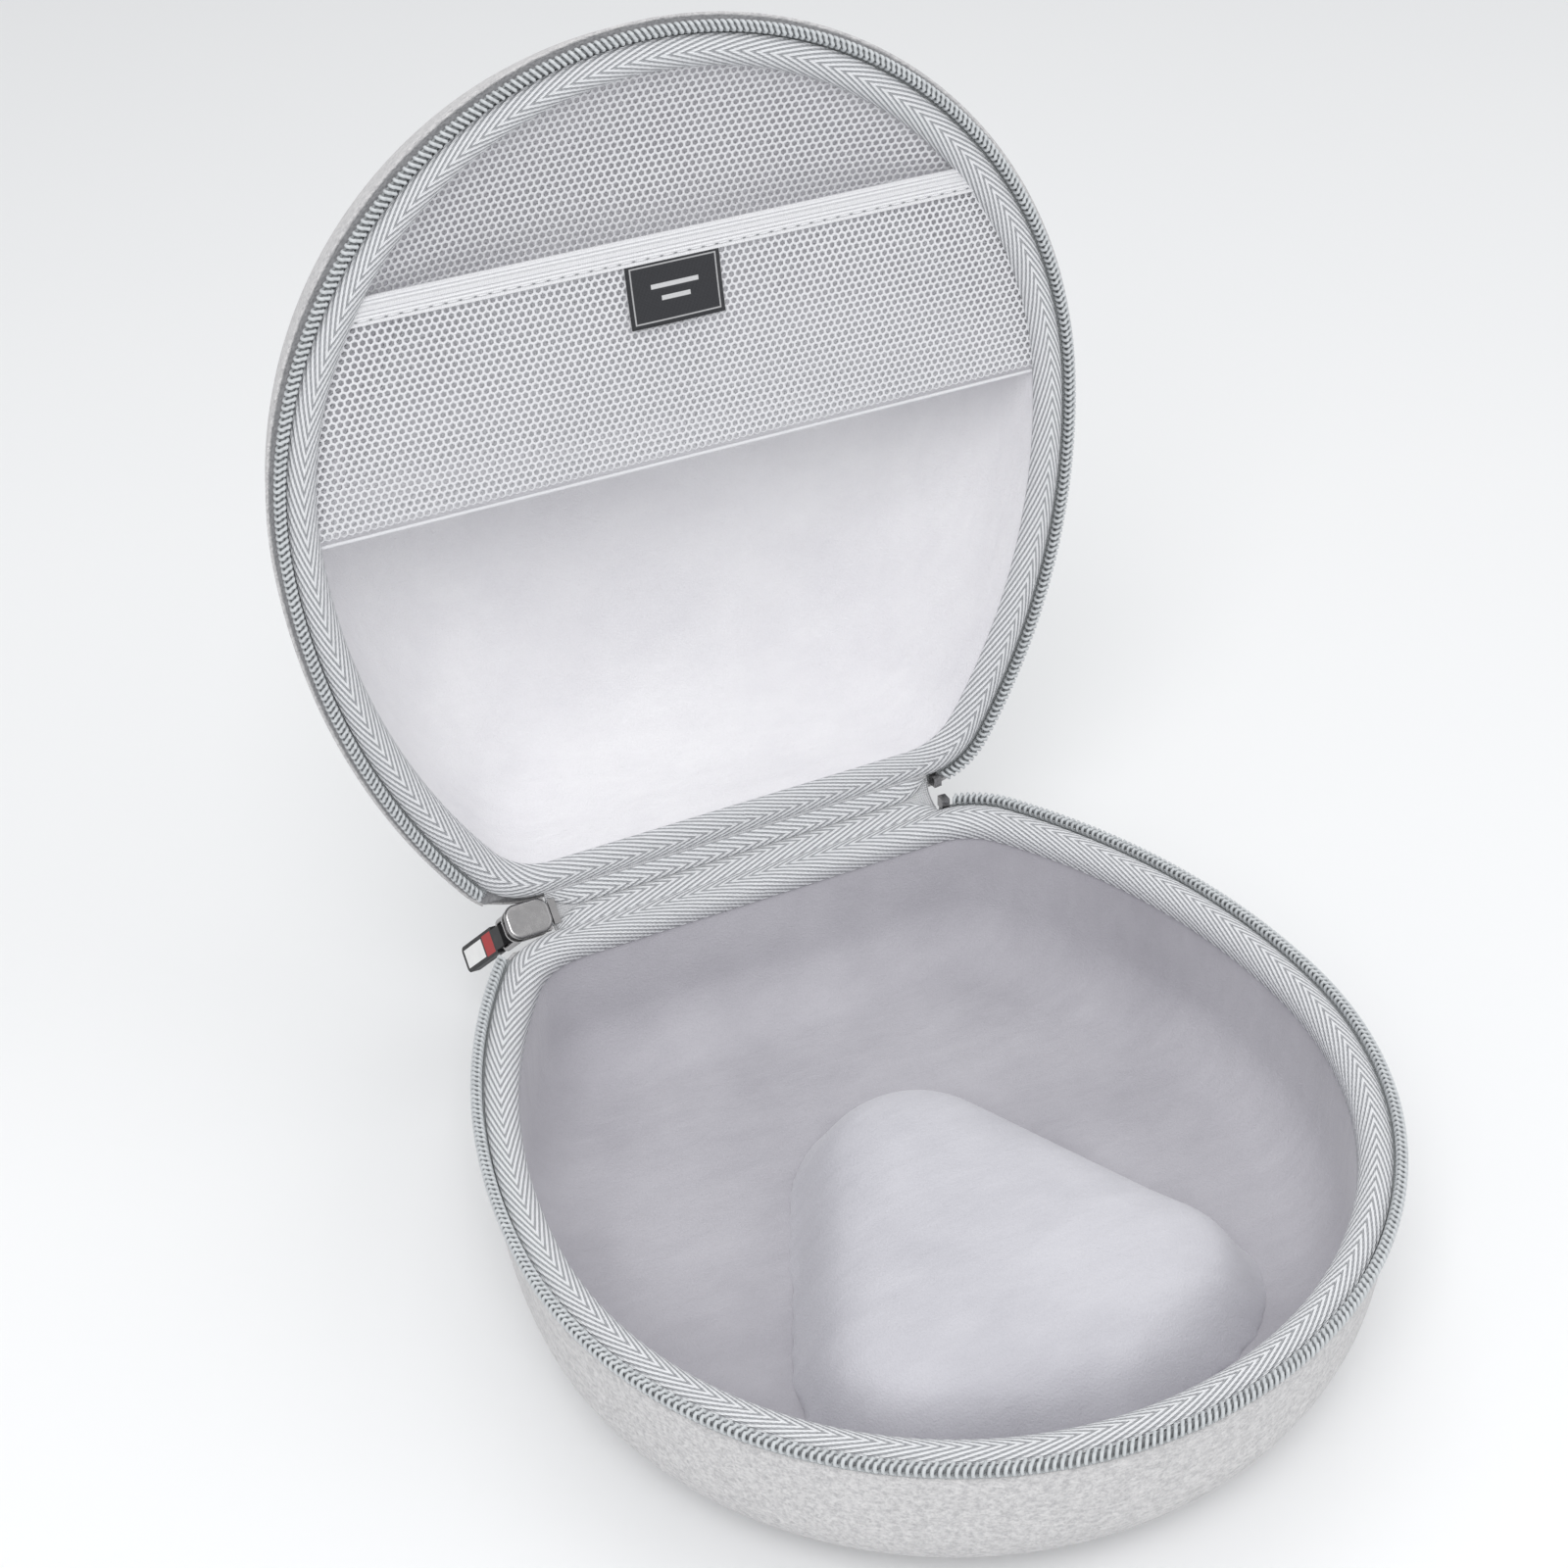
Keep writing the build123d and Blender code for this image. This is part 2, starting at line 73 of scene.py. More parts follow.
camera = bpy.data.objects.new("camera", bpy.data.cameras.new("camera"))
bpy.context.scene.collection.objects.link(camera)
bpy.context.scene.camera = camera
backwards = Vector(
    (sin(LOOKING) * cos(LOOKING_DOWN), -cos(LOOKING) * cos(LOOKING_DOWN), sin(LOOKING_DOWN))
)
level_view = (-backwards).to_track_quat("-Z", "Y").to_matrix().to_4x4()
camera.matrix_world = Matrix.Translation(CAMERA_AT) @ level_view @ Matrix.Rotation(TILTED, 4, "Z")
camera.data.lens = LENS
camera.data.clip_start = 0.01

for name, at, size, power in SOFT_BOXES:
    lamp = bpy.data.lights.new(name, "AREA")
    lamp.size = size
    lamp.energy = power
    box = bpy.data.objects.new(name, lamp)
    bpy.context.scene.collection.objects.link(box)
    box.location = at
    box.rotation_euler = (Vector((0, 0.05, 0.08)) - Vector(at)).to_track_quat("-Z", "Y").to_euler()

room = bpy.data.worlds.new("room")
room.use_nodes = True
room.node_tree.nodes["Background"].inputs["Color"].default_value = ROOM_WHITE
room.node_tree.nodes["Background"].inputs["Strength"].default_value = ROOM_LEVEL
bpy.context.scene.world = room
bpy.context.scene.view_settings.view_transform = "Standard"


def place(tree, kind, settings, inputs):
    """Add a node: settings first, then the value or link of each socket."""
    node = tree.nodes.new(kind)
    for key, value in settings.items():
        setattr(node, key, value)
    for key, value in inputs.items():
        source = getattr(value, "socket", value)
        if isinstance(source, bpy.types.NodeSocket):
            tree.links.new(source, node.inputs[key])
        else:
            node.inputs[key].default_value = source
    return node


class Wire:
    """A number running over a surface; sums on it add the Math nodes."""

    def __init__(self, finish, socket):
        self.finish, self.socket = finish, socket

    def sum(self, operation, first, second):
        return self.finish.node("ShaderNodeMath", {"operation": operation}, {0: first, 1: second})

    def __add__(self, other):
        return self.sum("ADD", self, other)

    def __sub__(self, other):
        return self.sum("SUBTRACT", self, other)

    def __rsub__(self, other):
        return self.sum("SUBTRACT", other, self)

    def __mul__(self, other):
        return self.sum("MULTIPLY", self, other)

    def __truediv__(self, other):
        return self.sum("DIVIDE", self, other)

    __radd__, __rmul__ = __add__, __mul__


class Finish:
    """One material, made on its own Principled shader."""

    def __init__(self, name, **fixed):
        self.material = bpy.data.materials.new(name)
        self.material.use_nodes = True
        self.tree = self.material.node_tree
        self.shader = self.tree.nodes["Principled BSDF"]
        for socket, value in fixed.items():
            self.shader.inputs[socket.replace("_", " ")].default_value = value

    def node(self, kind, settings=None, inputs=None, output=0):
        return Wire(self, place(self.tree, kind, settings or {}, inputs or {}).outputs[output])

    def where(self, turned=0.0, stretch=(1, 1, 1)):
        """Object coordinates, turned about X and stretched."""
        spot = self.node("ShaderNodeTexCoord", output="Object")
        return self.node(
            "ShaderNodeMapping", {}, {"Vector": spot, "Rotation": (turned, 0, 0), "Scale": stretch}
        )

    def cloth_uv(self):
        """Metres along the piece and metres across it."""
        spot = self.node("ShaderNodeUVMap", {"uv_map": "cloth"})
        parts = place(self.tree, "ShaderNodeSeparateXYZ", {}, {0: spot})
        return Wire(self, parts.outputs[0]), Wire(self, parts.outputs[1])

    def grain(self, spot, scale, detail=2.0, roughness=0.5):
        return self.node(
            "ShaderNodeTexNoise", {}, {"Vector": spot, "Scale": scale, "Detail": detail, "Roughness": roughness}
        )

    def step(self, level, low, high):
        """0 below low, 1 above high, smooth between."""
        return self.node(
            "ShaderNodeMapRange",
            {"interpolation_type": "SMOOTHSTEP"},
            {"Value": level, "From Min": low, "From Max": high},
        )

    def wave(self, level, length):
        """0 to 1 and back for each length."""
        turns = self.node("ShaderNodeMath", {"operation": "SINE"}, {0: level * (2 * pi / length)})
        return turns * 0.5 + 0.5

    def size(self, level):
        return self.node("ShaderNodeMath", {"operation": "ABSOLUTE"}, {0: level})

    def mix(self, share, low, high):
        """Colour from low to high."""
        low, high = (c if isinstance(c, Wire) else (*c, 1.0) for c in (low, high))
        return self.node("ShaderNodeMix", {"data_type": "RGBA"}, {0: share, 6: low, 7: high}, output=2)

    def relief(self, height, depth):
        """Bump of a depth in metres."""
        return self.node("ShaderNodeBump", {}, {"Height": height, "Distance": depth, "Strength": 1.0})

    def wear(self, **feeds):
        for socket, wire in feeds.items():
            self.tree.links.new(wire.socket, self.shader.inputs[socket.replace("_", " ")])
        return self.material


table = Finish("white_table", Roughness=0.6, Base_Color=FLOOR_WHITE)
cast = table.grain(table.where(), 3.0)
table.wear(Base_Color=table.mix(cast, (0.855, 0.862, 0.872), (0.875, 0.878, 0.882)))
floor_mesh = bpy.data.meshes.new("floor")
reach = FLOOR_SIZE / 2
floor_mesh.from_pydata(
    [(-reach, -reach, 0), (reach, -reach, 0), (reach, reach, 0), (-reach, reach, 0)], [], [(0, 1, 2, 3)]
)
floor_mesh.materials.append(table.material)
floor = bpy.data.objects.new("floor", floor_mesh)
bpy.context.scene.collection.objects.link(floor)

# ---------------------------------------------------------------- outer covers
# Woven polyester with a heather mix of pale and darker grey yarns, laminated to the moulded
# shells. It is one sheet pressed to shape, so it has no seam on the walls or the crown.
chain_low, chain_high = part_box("base_zip_chain")
hinge_joint = next(joint for joint in frame["joints"] if joint["name"] == "lid_hinge")
HINGE = Vector(hinge_joint["pos_m"])
OPEN_ANGLE = -radians(hinge_joint["range_deg"][0])
HALF_WIDTH = chain_high.x
HALF_DEPTH = -chain_low.y
BASE_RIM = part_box("base_zip_tape")[0].z
RIM_STACK = HINGE.z - BASE_RIM
MID_Y = HALF_WIDTH - HALF_DEPTH
HINGE_LENGTH = 113 * MM
CORNER_R, CORNER_EASE = 21.6 * MM, 3.6 * MM
FLAT_SHARE = 0.75
CAVITY_INSET = 9.6 * MM
CLOTH_T, LINING_T = 0.8 * MM, 0.8 * MM
BASE_BOWL = {"inset": 1.0 * MM, "draft": 5.5, "edge": 30 * MM, "depth": BASE_RIM}
LID_BOWL = {"inset": -1.6 * MM, "draft": 14.0, "edge": 46 * MM, "depth": 47.6 * MM}
NOTCH_R, NOTCH_FROM, NOTCH_TO = 7.2 * MM, -71.3 * MM, -52.9 * MM
BACK_STEPS, CORNER_STEPS, SIDE_STEPS, FRONT_STEPS = 28, 12, 52, 160
HEATHER_PALE, HEATHER_DARK = (0.72, 0.71, 0.71), (0.43, 0.425, 0.435)
TURNS = {"base": None, "lid": OPEN_ANGLE, "zip_end": OPEN_ANGLE / 2}


def rim_line(inset):
    """The rim's outline moved in by inset, from the middle of the back round by the left."""
    soft_r = CORNER_R - CORNER_EASE + CORNER_EASE * exp(-inset / CORNER_EASE)
    widening = soft_r - (CORNER_R - inset)
    half = HALF_WIDTH - inset
    flat = HINGE_LENGTH / 2 - FLAT_SHARE * widening
    back = HALF_DEPTH - inset
    rise, reach = back - soft_r - MID_Y, half - flat
    side_r = (reach**2 + rise**2 - soft_r**2) / (2 * (reach - soft_r))
    turn = atan2(rise, flat - half + side_r)

    def arc(x, y, r, start, end, steps):
        angle = np.linspace(start, end, steps, endpoint=False)
        return np.stack([x + r * np.cos(angle), y + r * np.sin(angle)], -1)

    back_half = np.stack([np.linspace(0, flat, BACK_STEPS, endpoint=False), np.full(BACK_STEPS, back)], -1)
    left = [
        back_half * (-1, 1),
        arc(-flat, back - soft_r, soft_r, pi / 2, pi - turn, CORNER_STEPS),
        arc(side_r - half, MID_Y, side_r, pi - turn, pi, SIDE_STEPS),
    ]
    front = arc(0, MID_Y, half, pi, 2 * pi, FRONT_STEPS)
    quarter = np.concatenate(left)
    right = quarter[:0:-1] * (-1, 1)
    join = np.array([[half, MID_Y]])
    return np.concatenate([quarter, front, join, right])


def bowl_rows(bowl, shrink, steps=14):
    """Rows of a bowl's surface from its rim to its flat crown, as x, y and height from the rim."""
    lean = radians(bowl["draft"])
    straight = bowl["depth"] - bowl["edge"] * (1 - sin(lean))
    centre = bowl["inset"] + straight * tan(lean) + bowl["edge"] * cos(lean)
    radius = bowl["edge"] - shrink
    rim_at = bowl["inset"] + shrink / cos(lean)
    angle = np.linspace(lean, pi / 2, steps)
    inset = centre - radius * np.cos(angle)
    height = bowl["depth"] - bowl["edge"] + radius * np.sin(angle)
    wall = np.linspace(0, 1, 5, endpoint=False)
    inset = np.concatenate([rim_at + wall * (inset[0] - rim_at), inset])
    height = np.concatenate([wall * height[0], height])
    rows = [np.column_stack([rim_line(i), np.full(len(rim_line(i)), h)]) for i, h in zip(inset, height)]
    middle = np.array([0, MID_Y, 0])
    crown = rows[-1] * (1, 1, 0)
    for share in (0.8, 0.6, 0.4, 0.2, 0.05):
        rows.append(middle + (crown - middle) * share + (0, 0, height[-1]))
    return np.array(rows)


def seat(points, half):
    """Put points drawn from a rim, height away from the meeting plane, on the base or the lid."""
    points = np.asarray(points, float)
    x, y, height = points[..., 0], points[..., 1], points[..., 2]
    if half == "base":
        return np.stack([x, y, BASE_RIM - height], -1)
    turn = TURNS[half]
    y, z = (y - HINGE.y, height + RIM_STACK) if half == "lid" else (y, height)
    return np.stack([x, HINGE.y + y * cos(turn) + z * sin(turn), HINGE.z - y * sin(turn) + z * cos(turn)], -1)


def new_piece(name, mesh, material):
    """A smooth piece at the origin, with doubles merged and faces outwards."""
    shape = bmesh.new()
    shape.from_mesh(mesh)
    bmesh.ops.remove_doubles(shape, verts=shape.verts, dist=1e-6)
    bmesh.ops.recalc_face_normals(shape, faces=shape.faces)
    for face in shape.faces:
        face.smooth = True
    shape.to_mesh(mesh)
    shape.free()
    mesh.materials.clear()
    mesh.materials.append(material)
    mesh.name = name
    piece = bpy.data.objects.new(name, mesh)
    bpy.context.scene.collection.objects.link(piece)
    return piece


def skin(name, rows, material, ring=True, loop=False, poles=False):
    """A surface through rows of points, with metres along and across it in its UV map.

    ring joins each row's ends, loop joins the last row to the first, and poles closes both ends."""
    rows = np.asarray(rows, float)
    count, around = rows.shape[:2]
    along = np.linalg.norm(np.diff(rows, axis=1, append=rows[:, :1]), axis=2).mean(0)
    across = np.linalg.norm(np.diff(rows, axis=0, append=rows[:1]), axis=2).mean(1)
    u = np.concatenate([[0], np.cumsum(along)])
    v = np.concatenate([[0], np.cumsum(across)])
    points = [tuple(p) for p in rows.reshape(-1, 3)]
    faces, corners = [], []
    for r in range(count if loop else count - 1):
        below = (r + 1) % count
        for c in range(around if ring else around - 1):
            after = (c + 1) % around
            faces.append((r * around + c, r * around + after, below * around + after, below * around + c))
            corners += [(u[c], v[r]), (u[c + 1], v[r]), (u[c + 1], v[r + 1]), (u[c], v[r + 1])]
    if poles:
        for r in (0, count - 1):
            points.append(tuple(rows[r].mean(0)))
            for c in range(around):
                faces.append((r * around + c, r * around + (c + 1) % around, len(points) - 1))
                corners += [(u[c], v[r]), (u[c + 1], v[r]), (u[c], v[r])]
    if loop and not ring:
        for c in (0, around - 1):
            faces.append(tuple(r * around + c for r in range(count)))
            corners += [(u[c], v[r]) for r in range(count)]
    mesh = bpy.data.meshes.new(name)
    mesh.from_pydata(points, [], faces)
    mesh.uv_layers.new(name="cloth").data.foreach_set("uv", np.array(corners, np.float32).ravel())
    return new_piece(name, mesh, material)


def fixed(piece):
    """The piece with its modifiers applied, and none left on it."""
    seen = bpy.context.evaluated_depsgraph_get()
    mesh = bpy.data.meshes.new_from_object(piece.evaluated_get(seen), depsgraph=seen)
    old, piece.data = piece.data, mesh
    piece.modifiers.clear()
    bpy.data.meshes.remove(old)
    mesh.name = piece.name
    return piece


angle = np.linspace(0, 2 * pi, 64, endpoint=False)
notch_round = np.stack([0 * angle, HINGE.y + NOTCH_R * np.cos(angle), HINGE.z + NOTCH_R * np.sin(angle)], -1)
notch_tool = skin(
    "notch_tool", [notch_round + (NOTCH_FROM, 0, 0), notch_round + (NOTCH_TO, 0, 0)], table.material, poles=True
)


def notched(piece):
    """Leave room at the left end of the hinge for the parked slider."""
    cut = piece.modifiers.new("notch", "BOOLEAN")
    cut.operation, cut.object, cut.solver = "DIFFERENCE", notch_tool, "EXACT"
    return fixed(piece)


def heather_cloth(name, turned, pale, dark):
    """Fine two-tone yarn, crossing both ways, with a soft uneven cast."""
    cloth = Finish(name, Roughness=0.88, Sheen_Weight=0.12, Sheen_Roughness=0.6, Specular_IOR_Level=0.25)
    warp = cloth.grain(cloth.where(turned, (1500, 420, 1500)), 1.0, 3.0, 0.6)
    weft = cloth.grain(cloth.where(turned, (420, 1500, 900)), 1.0, 3.0, 0.6)
    fleck = cloth.grain(cloth.where(turned), 520, 2.0)
    cast = cloth.grain(cloth.where(turned), 24, 3.0)
    yarn = cloth.step((warp + weft) * 0.5, 0.36, 0.62)
    tone = yarn * 0.62 + cloth.step(fleck, 0.35, 0.65) * 0.22 + cast * 0.16
    rough = cloth.step(warp, 0.3, 0.7) * 0.12 + 0.8
    return cloth.wear(
        Base_Color=cloth.mix(tone, dark, pale),
        Roughness=rough,
        Normal=cloth.relief(warp + weft + fleck * 0.6, 0.35 * MM),
    )


COVERS = {
    "base": ("base_cover", BASE_BOWL, heather_cloth("base_heather", 0.0, HEATHER_PALE, HEATHER_DARK)),
    "lid": ("lid_cover", LID_BOWL, heather_cloth("lid_heather", OPEN_ANGLE, HEATHER_PALE, HEATHER_DARK)),
}
for half, (node, bowl, cloth) in COVERS.items():
    outside, inside = bowl_rows(bowl, 0), bowl_rows(bowl, CLOTH_T)
    cover = skin(f"{node}_cloth", seat(np.concatenate([inside[::-1], outside]), half), cloth, poles=True)
    notched(cover)
    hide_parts(node)
    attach(cover, half)

# ---------------------------------------------------------------- moulded shells
# Pressed foam board about 4 mm thick between cover and lining: the part that makes the case
# stiff. Only its cut edge could ever be seen, under the zip tape and in the slider's notch.
foam = Finish("moulded_foam", Roughness=0.85)
cells = foam.node("ShaderNodeTexVoronoi", {}, {"Vector": foam.where(), "Scale": 1400.0})
haze = foam.grain(foam.where(), 90)
foam.wear(
    Base_Color=foam.mix(cells * 0.7 + haze * 0.3, (0.20, 0.20, 0.21), (0.33, 0.33, 0.34)),
    Normal=foam.relief(cells, 0.2 * MM),
)


def refinish(node, material):
    """Give a CAD piece its real finish."""
    mesh = frame["nodes"][node].data
    mesh.materials.clear()
    mesh.materials.append(material)


refinish("base_shell", foam.material)
refinish("lid_shell", foam.material)

# ---------------------------------------------------------------- linings
# Short-pile velour glued into each half. It is one cloth in both, but the tray's copy is painted darker as
# painted shade and the dome's copy lighter as painted light. The pile has been brushed about in handling;
# its soft lighter and darker patches are painted sheen of the brushed pile. The pressed dome has faint creases.
TRAY_BOWL = {"inset": CAVITY_INSET, "draft": 1.0, "edge": 16 * MM, "depth": 39.7 * MM}
DOME_BOWL = {"inset": CAVITY_INSET, "draft": 8.0, "edge": 35 * MM, "depth": 41.3 * MM}
# The tray's colours are painted darker, as painted shade, and the dome's lighter, as painted light.
TRAY_PALE_SHADED, TRAY_DEEP_SHADED = (0.56, 0.55, 0.585), (0.37, 0.36, 0.395)
DOME_PALE_LIT, DOME_DEEP_LIT = (0.90, 0.895, 0.91), (0.72, 0.71, 0.745)
DOME_SWELL = 0.8 * MM


def velour(name, turned, pale, deep, sheen_patches):
    """Brushed short pile: broad patches and long soft strokes of painted sheen, and fine fibre tips."""
    pile = Finish(name, Roughness=0.92, Sheen_Weight=0.35, Sheen_Roughness=0.45, Specular_IOR_Level=0.15)
    broad = pile.grain(pile.where(turned), 16, 3.0, 0.55)
    stroke = pile.grain(pile.where(turned + 0.5, (70, 210, 70)), 1.0, 3.0, 0.6)
    tips = pile.grain(pile.where(turned), 1900, 2.0)
    # The broad patches and long strokes in this colour are painted sheen of the brushed pile; the tips are fibre
    # speckle.
    tone = pile.step(broad, 0.32, 0.68) * sheen_patches + stroke * (0.8 - sheen_patches) + tips * 0.2
    return pile.wear(
        Base_Color=pile.mix(tone, deep, pale),
        Roughness=stroke * 0.2 + 0.8,
        Normal=pile.relief(tips * 0.35 + stroke * 0.8 + broad * 1.5, 0.45 * MM),
    )


def creased(rows, swell):
    """Uneven pressing: the dome stands in by up to swell, and not at all at its rim."""
    x, y = rows[..., 0] * 1000, rows[..., 1] * 1000
    ease = np.clip(rows[..., 2] / (20 * MM), 0, 1) ** 2
    waves = np.sin(x / 17 + 0.8) * np.sin(y / 23 + 1.9) + 0.6 * np.sin(x / 9.5 - y / 14) * np.sin(y / 11 + 0.4)
    moved = rows.copy()
    moved[..., 2] -= swell * ease * (1 + waves / 1.6)
    return moved


LININGS = {
    "base": ("base_lining", TRAY_BOWL, 0.0, velour("tray_velour_shaded", 0.0, TRAY_PALE_SHADED, TRAY_DEEP_SHADED, 0.4)),
    "lid": ("lid_lining", DOME_BOWL, DOME_SWELL, velour("dome_velour_lit", OPEN_ANGLE, DOME_PALE_LIT, DOME_DEEP_LIT, 0.3)),
}
for half, (node, bowl, swell, pile) in LININGS.items():
    inner, outer = (creased(bowl_rows(bowl, shrink), swell) for shrink in (0, -LINING_T))
    lining = skin(f"{node}_velour", seat(np.concatenate([inner[::-1], outer]), half), pile, poles=True)
    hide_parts(node)
    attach(lining, half)

# ---------------------------------------------------------------- raised pad
# Soft foam hump on the tray floor that keeps the ear cups apart, under its own piece of
# velour. The outline is drawn round four lobes, and the pile is pulled taut over the top.
PAD_LOBES = np.array([(2, 13, 31), (-22, -38, 31), (32, -35, 30.5), (8, -42, 32)]) * MM
PAD_PROFILE = ((-4, -1.5), (-1.2, 0.4), (1.0, 3.5), (3.6, 8), (6.2, 12.6), (9, 16), (13, 18.4), (19, 19.8), (25, 20.3))
WAIST_AT, WAIST_REACH = np.array((50.8, -5.0)) * MM, 28 * MM
WAIST_IN = np.array((-10.0, -6.6)) * MM
PAD_VOXEL = 3.5 * MM
PAD_PRESSURE, PAD_CAP = 1.2, 1.8 * MM
PAD_SOFTEN = 6
pad_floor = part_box("pad_core")[0].z


def lobe_line(inset, steps=160):
    """The line drawn tight round the lobes, moved in by inset."""
    angle = np.linspace(0, 2 * pi, steps, endpoint=False)
    out = np.stack([np.cos(angle), np.sin(angle)], -1)
    reach = PAD_LOBES[:, :2] @ out.T + PAD_LOBES[:, 2:]
    widest = PAD_LOBES[reach.argmax(0)]
    line = widest[:, :2] + out * (widest[:, 2:] - inset)
    near = np.linalg.norm(line - WAIST_AT, axis=1, keepdims=True) / WAIST_REACH
    return line + WAIST_IN * (1 - inset / (40 * MM)) * np.exp(-(near**2))


pad_rows = [np.column_stack([lobe_line(i * MM), np.full(160, pad_floor + h * MM)]) for i, h in PAD_PROFILE]
pad = skin("pad_velour", pad_rows, COVERS["base"][2], poles=True)
melt = pad.modifiers.new("melt", "REMESH")
melt.mode, melt.voxel_size = "VOXEL", PAD_VOXEL
ease_off = pad.modifiers.new("ease_off", "SMOOTH")
ease_off.factor, ease_off.iterations = 0.5, PAD_SOFTEN
fixed(pad)
before = np.array([v.co for v in pad.data.vertices])
held = pad.vertex_groups.new(name="held")
held.add([i for i, p in enumerate(before) if p[2] < pad_floor + 2 * MM], 1.0, "REPLACE")
stuffing = pad.modifiers.new("stuffing", "CLOTH")
stuffing.settings.vertex_group_mass = "held"
stuffing.settings.use_pressure = True
stuffing.settings.uniform_pressure_force = PAD_PRESSURE
stuffing.settings.effector_weights.gravity = 0
stuffing.point_cache.frame_end = 20
for step in range(1, 21):
    bpy.context.scene.frame_set(step)
fixed(pad)
bpy.context.scene.frame_set(1)
after = np.array([v.co for v in pad.data.vertices])
move = after - before
length = np.linalg.norm(move, axis=1, keepdims=True)
move *= np.minimum(1, PAD_CAP / np.maximum(length, 1e-9))
pad.data.vertices.foreach_set("co", (before + move).astype(np.float32).ravel())
pad.vertex_groups.clear()
rounder = pad.modifiers.new("rounder", "SUBSURF")
rounder.levels = rounder.render_levels = 1
fixed(pad)
for face in pad.data.polygons:
    face.use_smooth = True
pad.data.materials.clear()
pad.data.materials.append(velour("pad_velour", 0.0, (0.68, 0.675, 0.715), (0.46, 0.455, 0.495), 0.4))
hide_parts("pad_core")
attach(pad, "base")

# ---------------------------------------------------------------- zip tapes
# Knitted polyester tape, sewn flat on each rim with its beaded edge outwards. It runs from
# the slider's notch round the front to the right end of the hinge.
ZIP_OPEN_X = HINGE_LENGTH / 2 + 0.5 * MM
TAPE_OUT, TAPE_IN, TAPE_T = 0.6 * MM, 7.8 * MM, 0.5 * MM
ZIP_STEPS = 420
outline = rim_line(0)
turning = BACK_STEPS + CORNER_STEPS
zip_first = np.interp(-NOTCH_FROM, -outline[:turning, 0], np.arange(turning))
zip_last = len(outline) - np.interp(ZIP_OPEN_X, outline[-turning:, 0][::-1], np.arange(1, turning + 1))


def zip_line(inset, height, steps=ZIP_STEPS):
    """The zipped stretch of the rim, as x, y and height."""
    loop = rim_line(inset)
    at = np.linspace(zip_first, zip_last, steps)
    flat = [np.interp(at, np.arange(len(loop)), loop[:, axis]) for axis in (0, 1)]
    return np.stack([*flat, np.full(steps, height)], -1)


knit = Finish("zip_tape_knit", Roughness=0.85, Sheen_Weight=0.1)
along, across = knit.cloth_uv()
courses = knit.wave(along, 0.7 * MM)
wales = knit.wave(across, 0.55 * MM)
knit.wear(
    Base_Color=knit.mix(
        courses * 0.3 + wales * 0.3 + knit.grain(knit.where(), 700) * 0.4, (0.30, 0.32, 0.33), (0.52, 0.54, 0.55)
    ),
    Roughness=wales * 0.15 + 0.78,
    Normal=knit.relief(courses + wales, 0.12 * MM),
)
TAPE_PROFILE = [(TAPE_OUT, 0), (TAPE_IN, 0), (TAPE_IN, -TAPE_T), (TAPE_OUT + 0.2 * MM, -TAPE_T)]
for half in ("base", "lid"):
    rows = [zip_line(inset, height) for inset, height in TAPE_PROFILE]
    tape = skin(f"{half}_zip_tape_knit", seat(rows, half), knit.material, ring=False, loop=True)
    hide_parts(f"{half}_zip_tape")
    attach(tape, half)

# ---------------------------------------------------------------- zip coils
# Continuous nylon coil: one flattened loop every 1.6 mm, sewn down over a filler cord. Each
# loop dips in the middle where the sewing thread pulls it on to the cord.
COIL_PITCH = 1.6 * MM
COIL_WIDE, COIL_TALL, WIRE_R = 2.0 * MM, 3.0 * MM, 0.45 * MM
COIL_LOW = -TAPE_T
COIL_INSET = 1.1 * MM


def into_mesh(tree, mesh, sizes):
    """Run a node tree on a mesh and keep what it makes as a plain mesh."""
    holder = bpy.data.objects.new("holder", mesh)
    bpy.context.scene.collection.objects.link(holder)
    run = holder.modifiers.new("run", "NODES")
    run.node_group = tree
    for item in tree.interface.items_tree:
        if item.name in sizes:
            run[item.identifier] = sizes[item.name]
    seen = bpy.context.evaluated_depsgraph_get()
    made = bpy.data.meshes.new_from_object(holder.evaluated_get(seen), depsgraph=seen)
    bpy.data.objects.remove(holder)
    bpy.data.meshes.remove(mesh)
    return made


def new_tree(name, numbers):
    """A geometry tree with named number inputs; returns it with its two end nodes."""
    tree = bpy.data.node_groups.new(name, "GeometryNodeTree")
    tree.interface.new_socket("Geometry", in_out="INPUT", socket_type="NodeSocketGeometry")
    for number in numbers:
        tree.interface.new_socket(number, in_out="INPUT", socket_type="NodeSocketFloat")
    tree.interface.new_socket("Geometry", in_out="OUTPUT", socket_type="NodeSocketGeometry")
    return tree, tree.nodes.new("NodeGroupInput"), tree.nodes.new("NodeGroupOutput")


def polyline(points):
    """A mesh of edges through points."""
    mesh = bpy.data.meshes.new("line")
    pairs = [(i, i + 1) for i in range(len(points) - 1)]
    mesh.from_pydata([tuple(p) for p in points], pairs, [])
    return mesh


def along_line(tree, ends, spacing, instance, material):
    """Instances of a shape set every spacing along the line, its X axis along it."""
    source, sink = ends
    line = place(tree, "GeometryNodeMeshToCurve", {}, {0: source.outputs["Geometry"]}).outputs[0]
    beads = place(tree, "GeometryNodeResampleCurve", {"mode": "LENGTH"}, {"Curve": line, "Length": spacing})
    heading = tree.nodes.new("GeometryNodeInputTangent").outputs[0]
    facing = place(
        tree, "FunctionNodeAlignRotationToVector", {"axis": "X", "pivot_axis": "Z"}, {"Vector": heading}
    ).outputs[0]
    put = place(
        tree, "GeometryNodeInstanceOnPoints", {}, {"Points": beads.outputs[0], "Instance": instance, "Rotation": facing}
    ).outputs[0]
    real = place(tree, "GeometryNodeRealizeInstances", {}, {0: put}).outputs[0]
    finished = place(tree, "GeometryNodeSetMaterial", {}, {"Geometry": real, "Material": material}).outputs[0]
    tree.links.new(finished, sink.inputs[0])


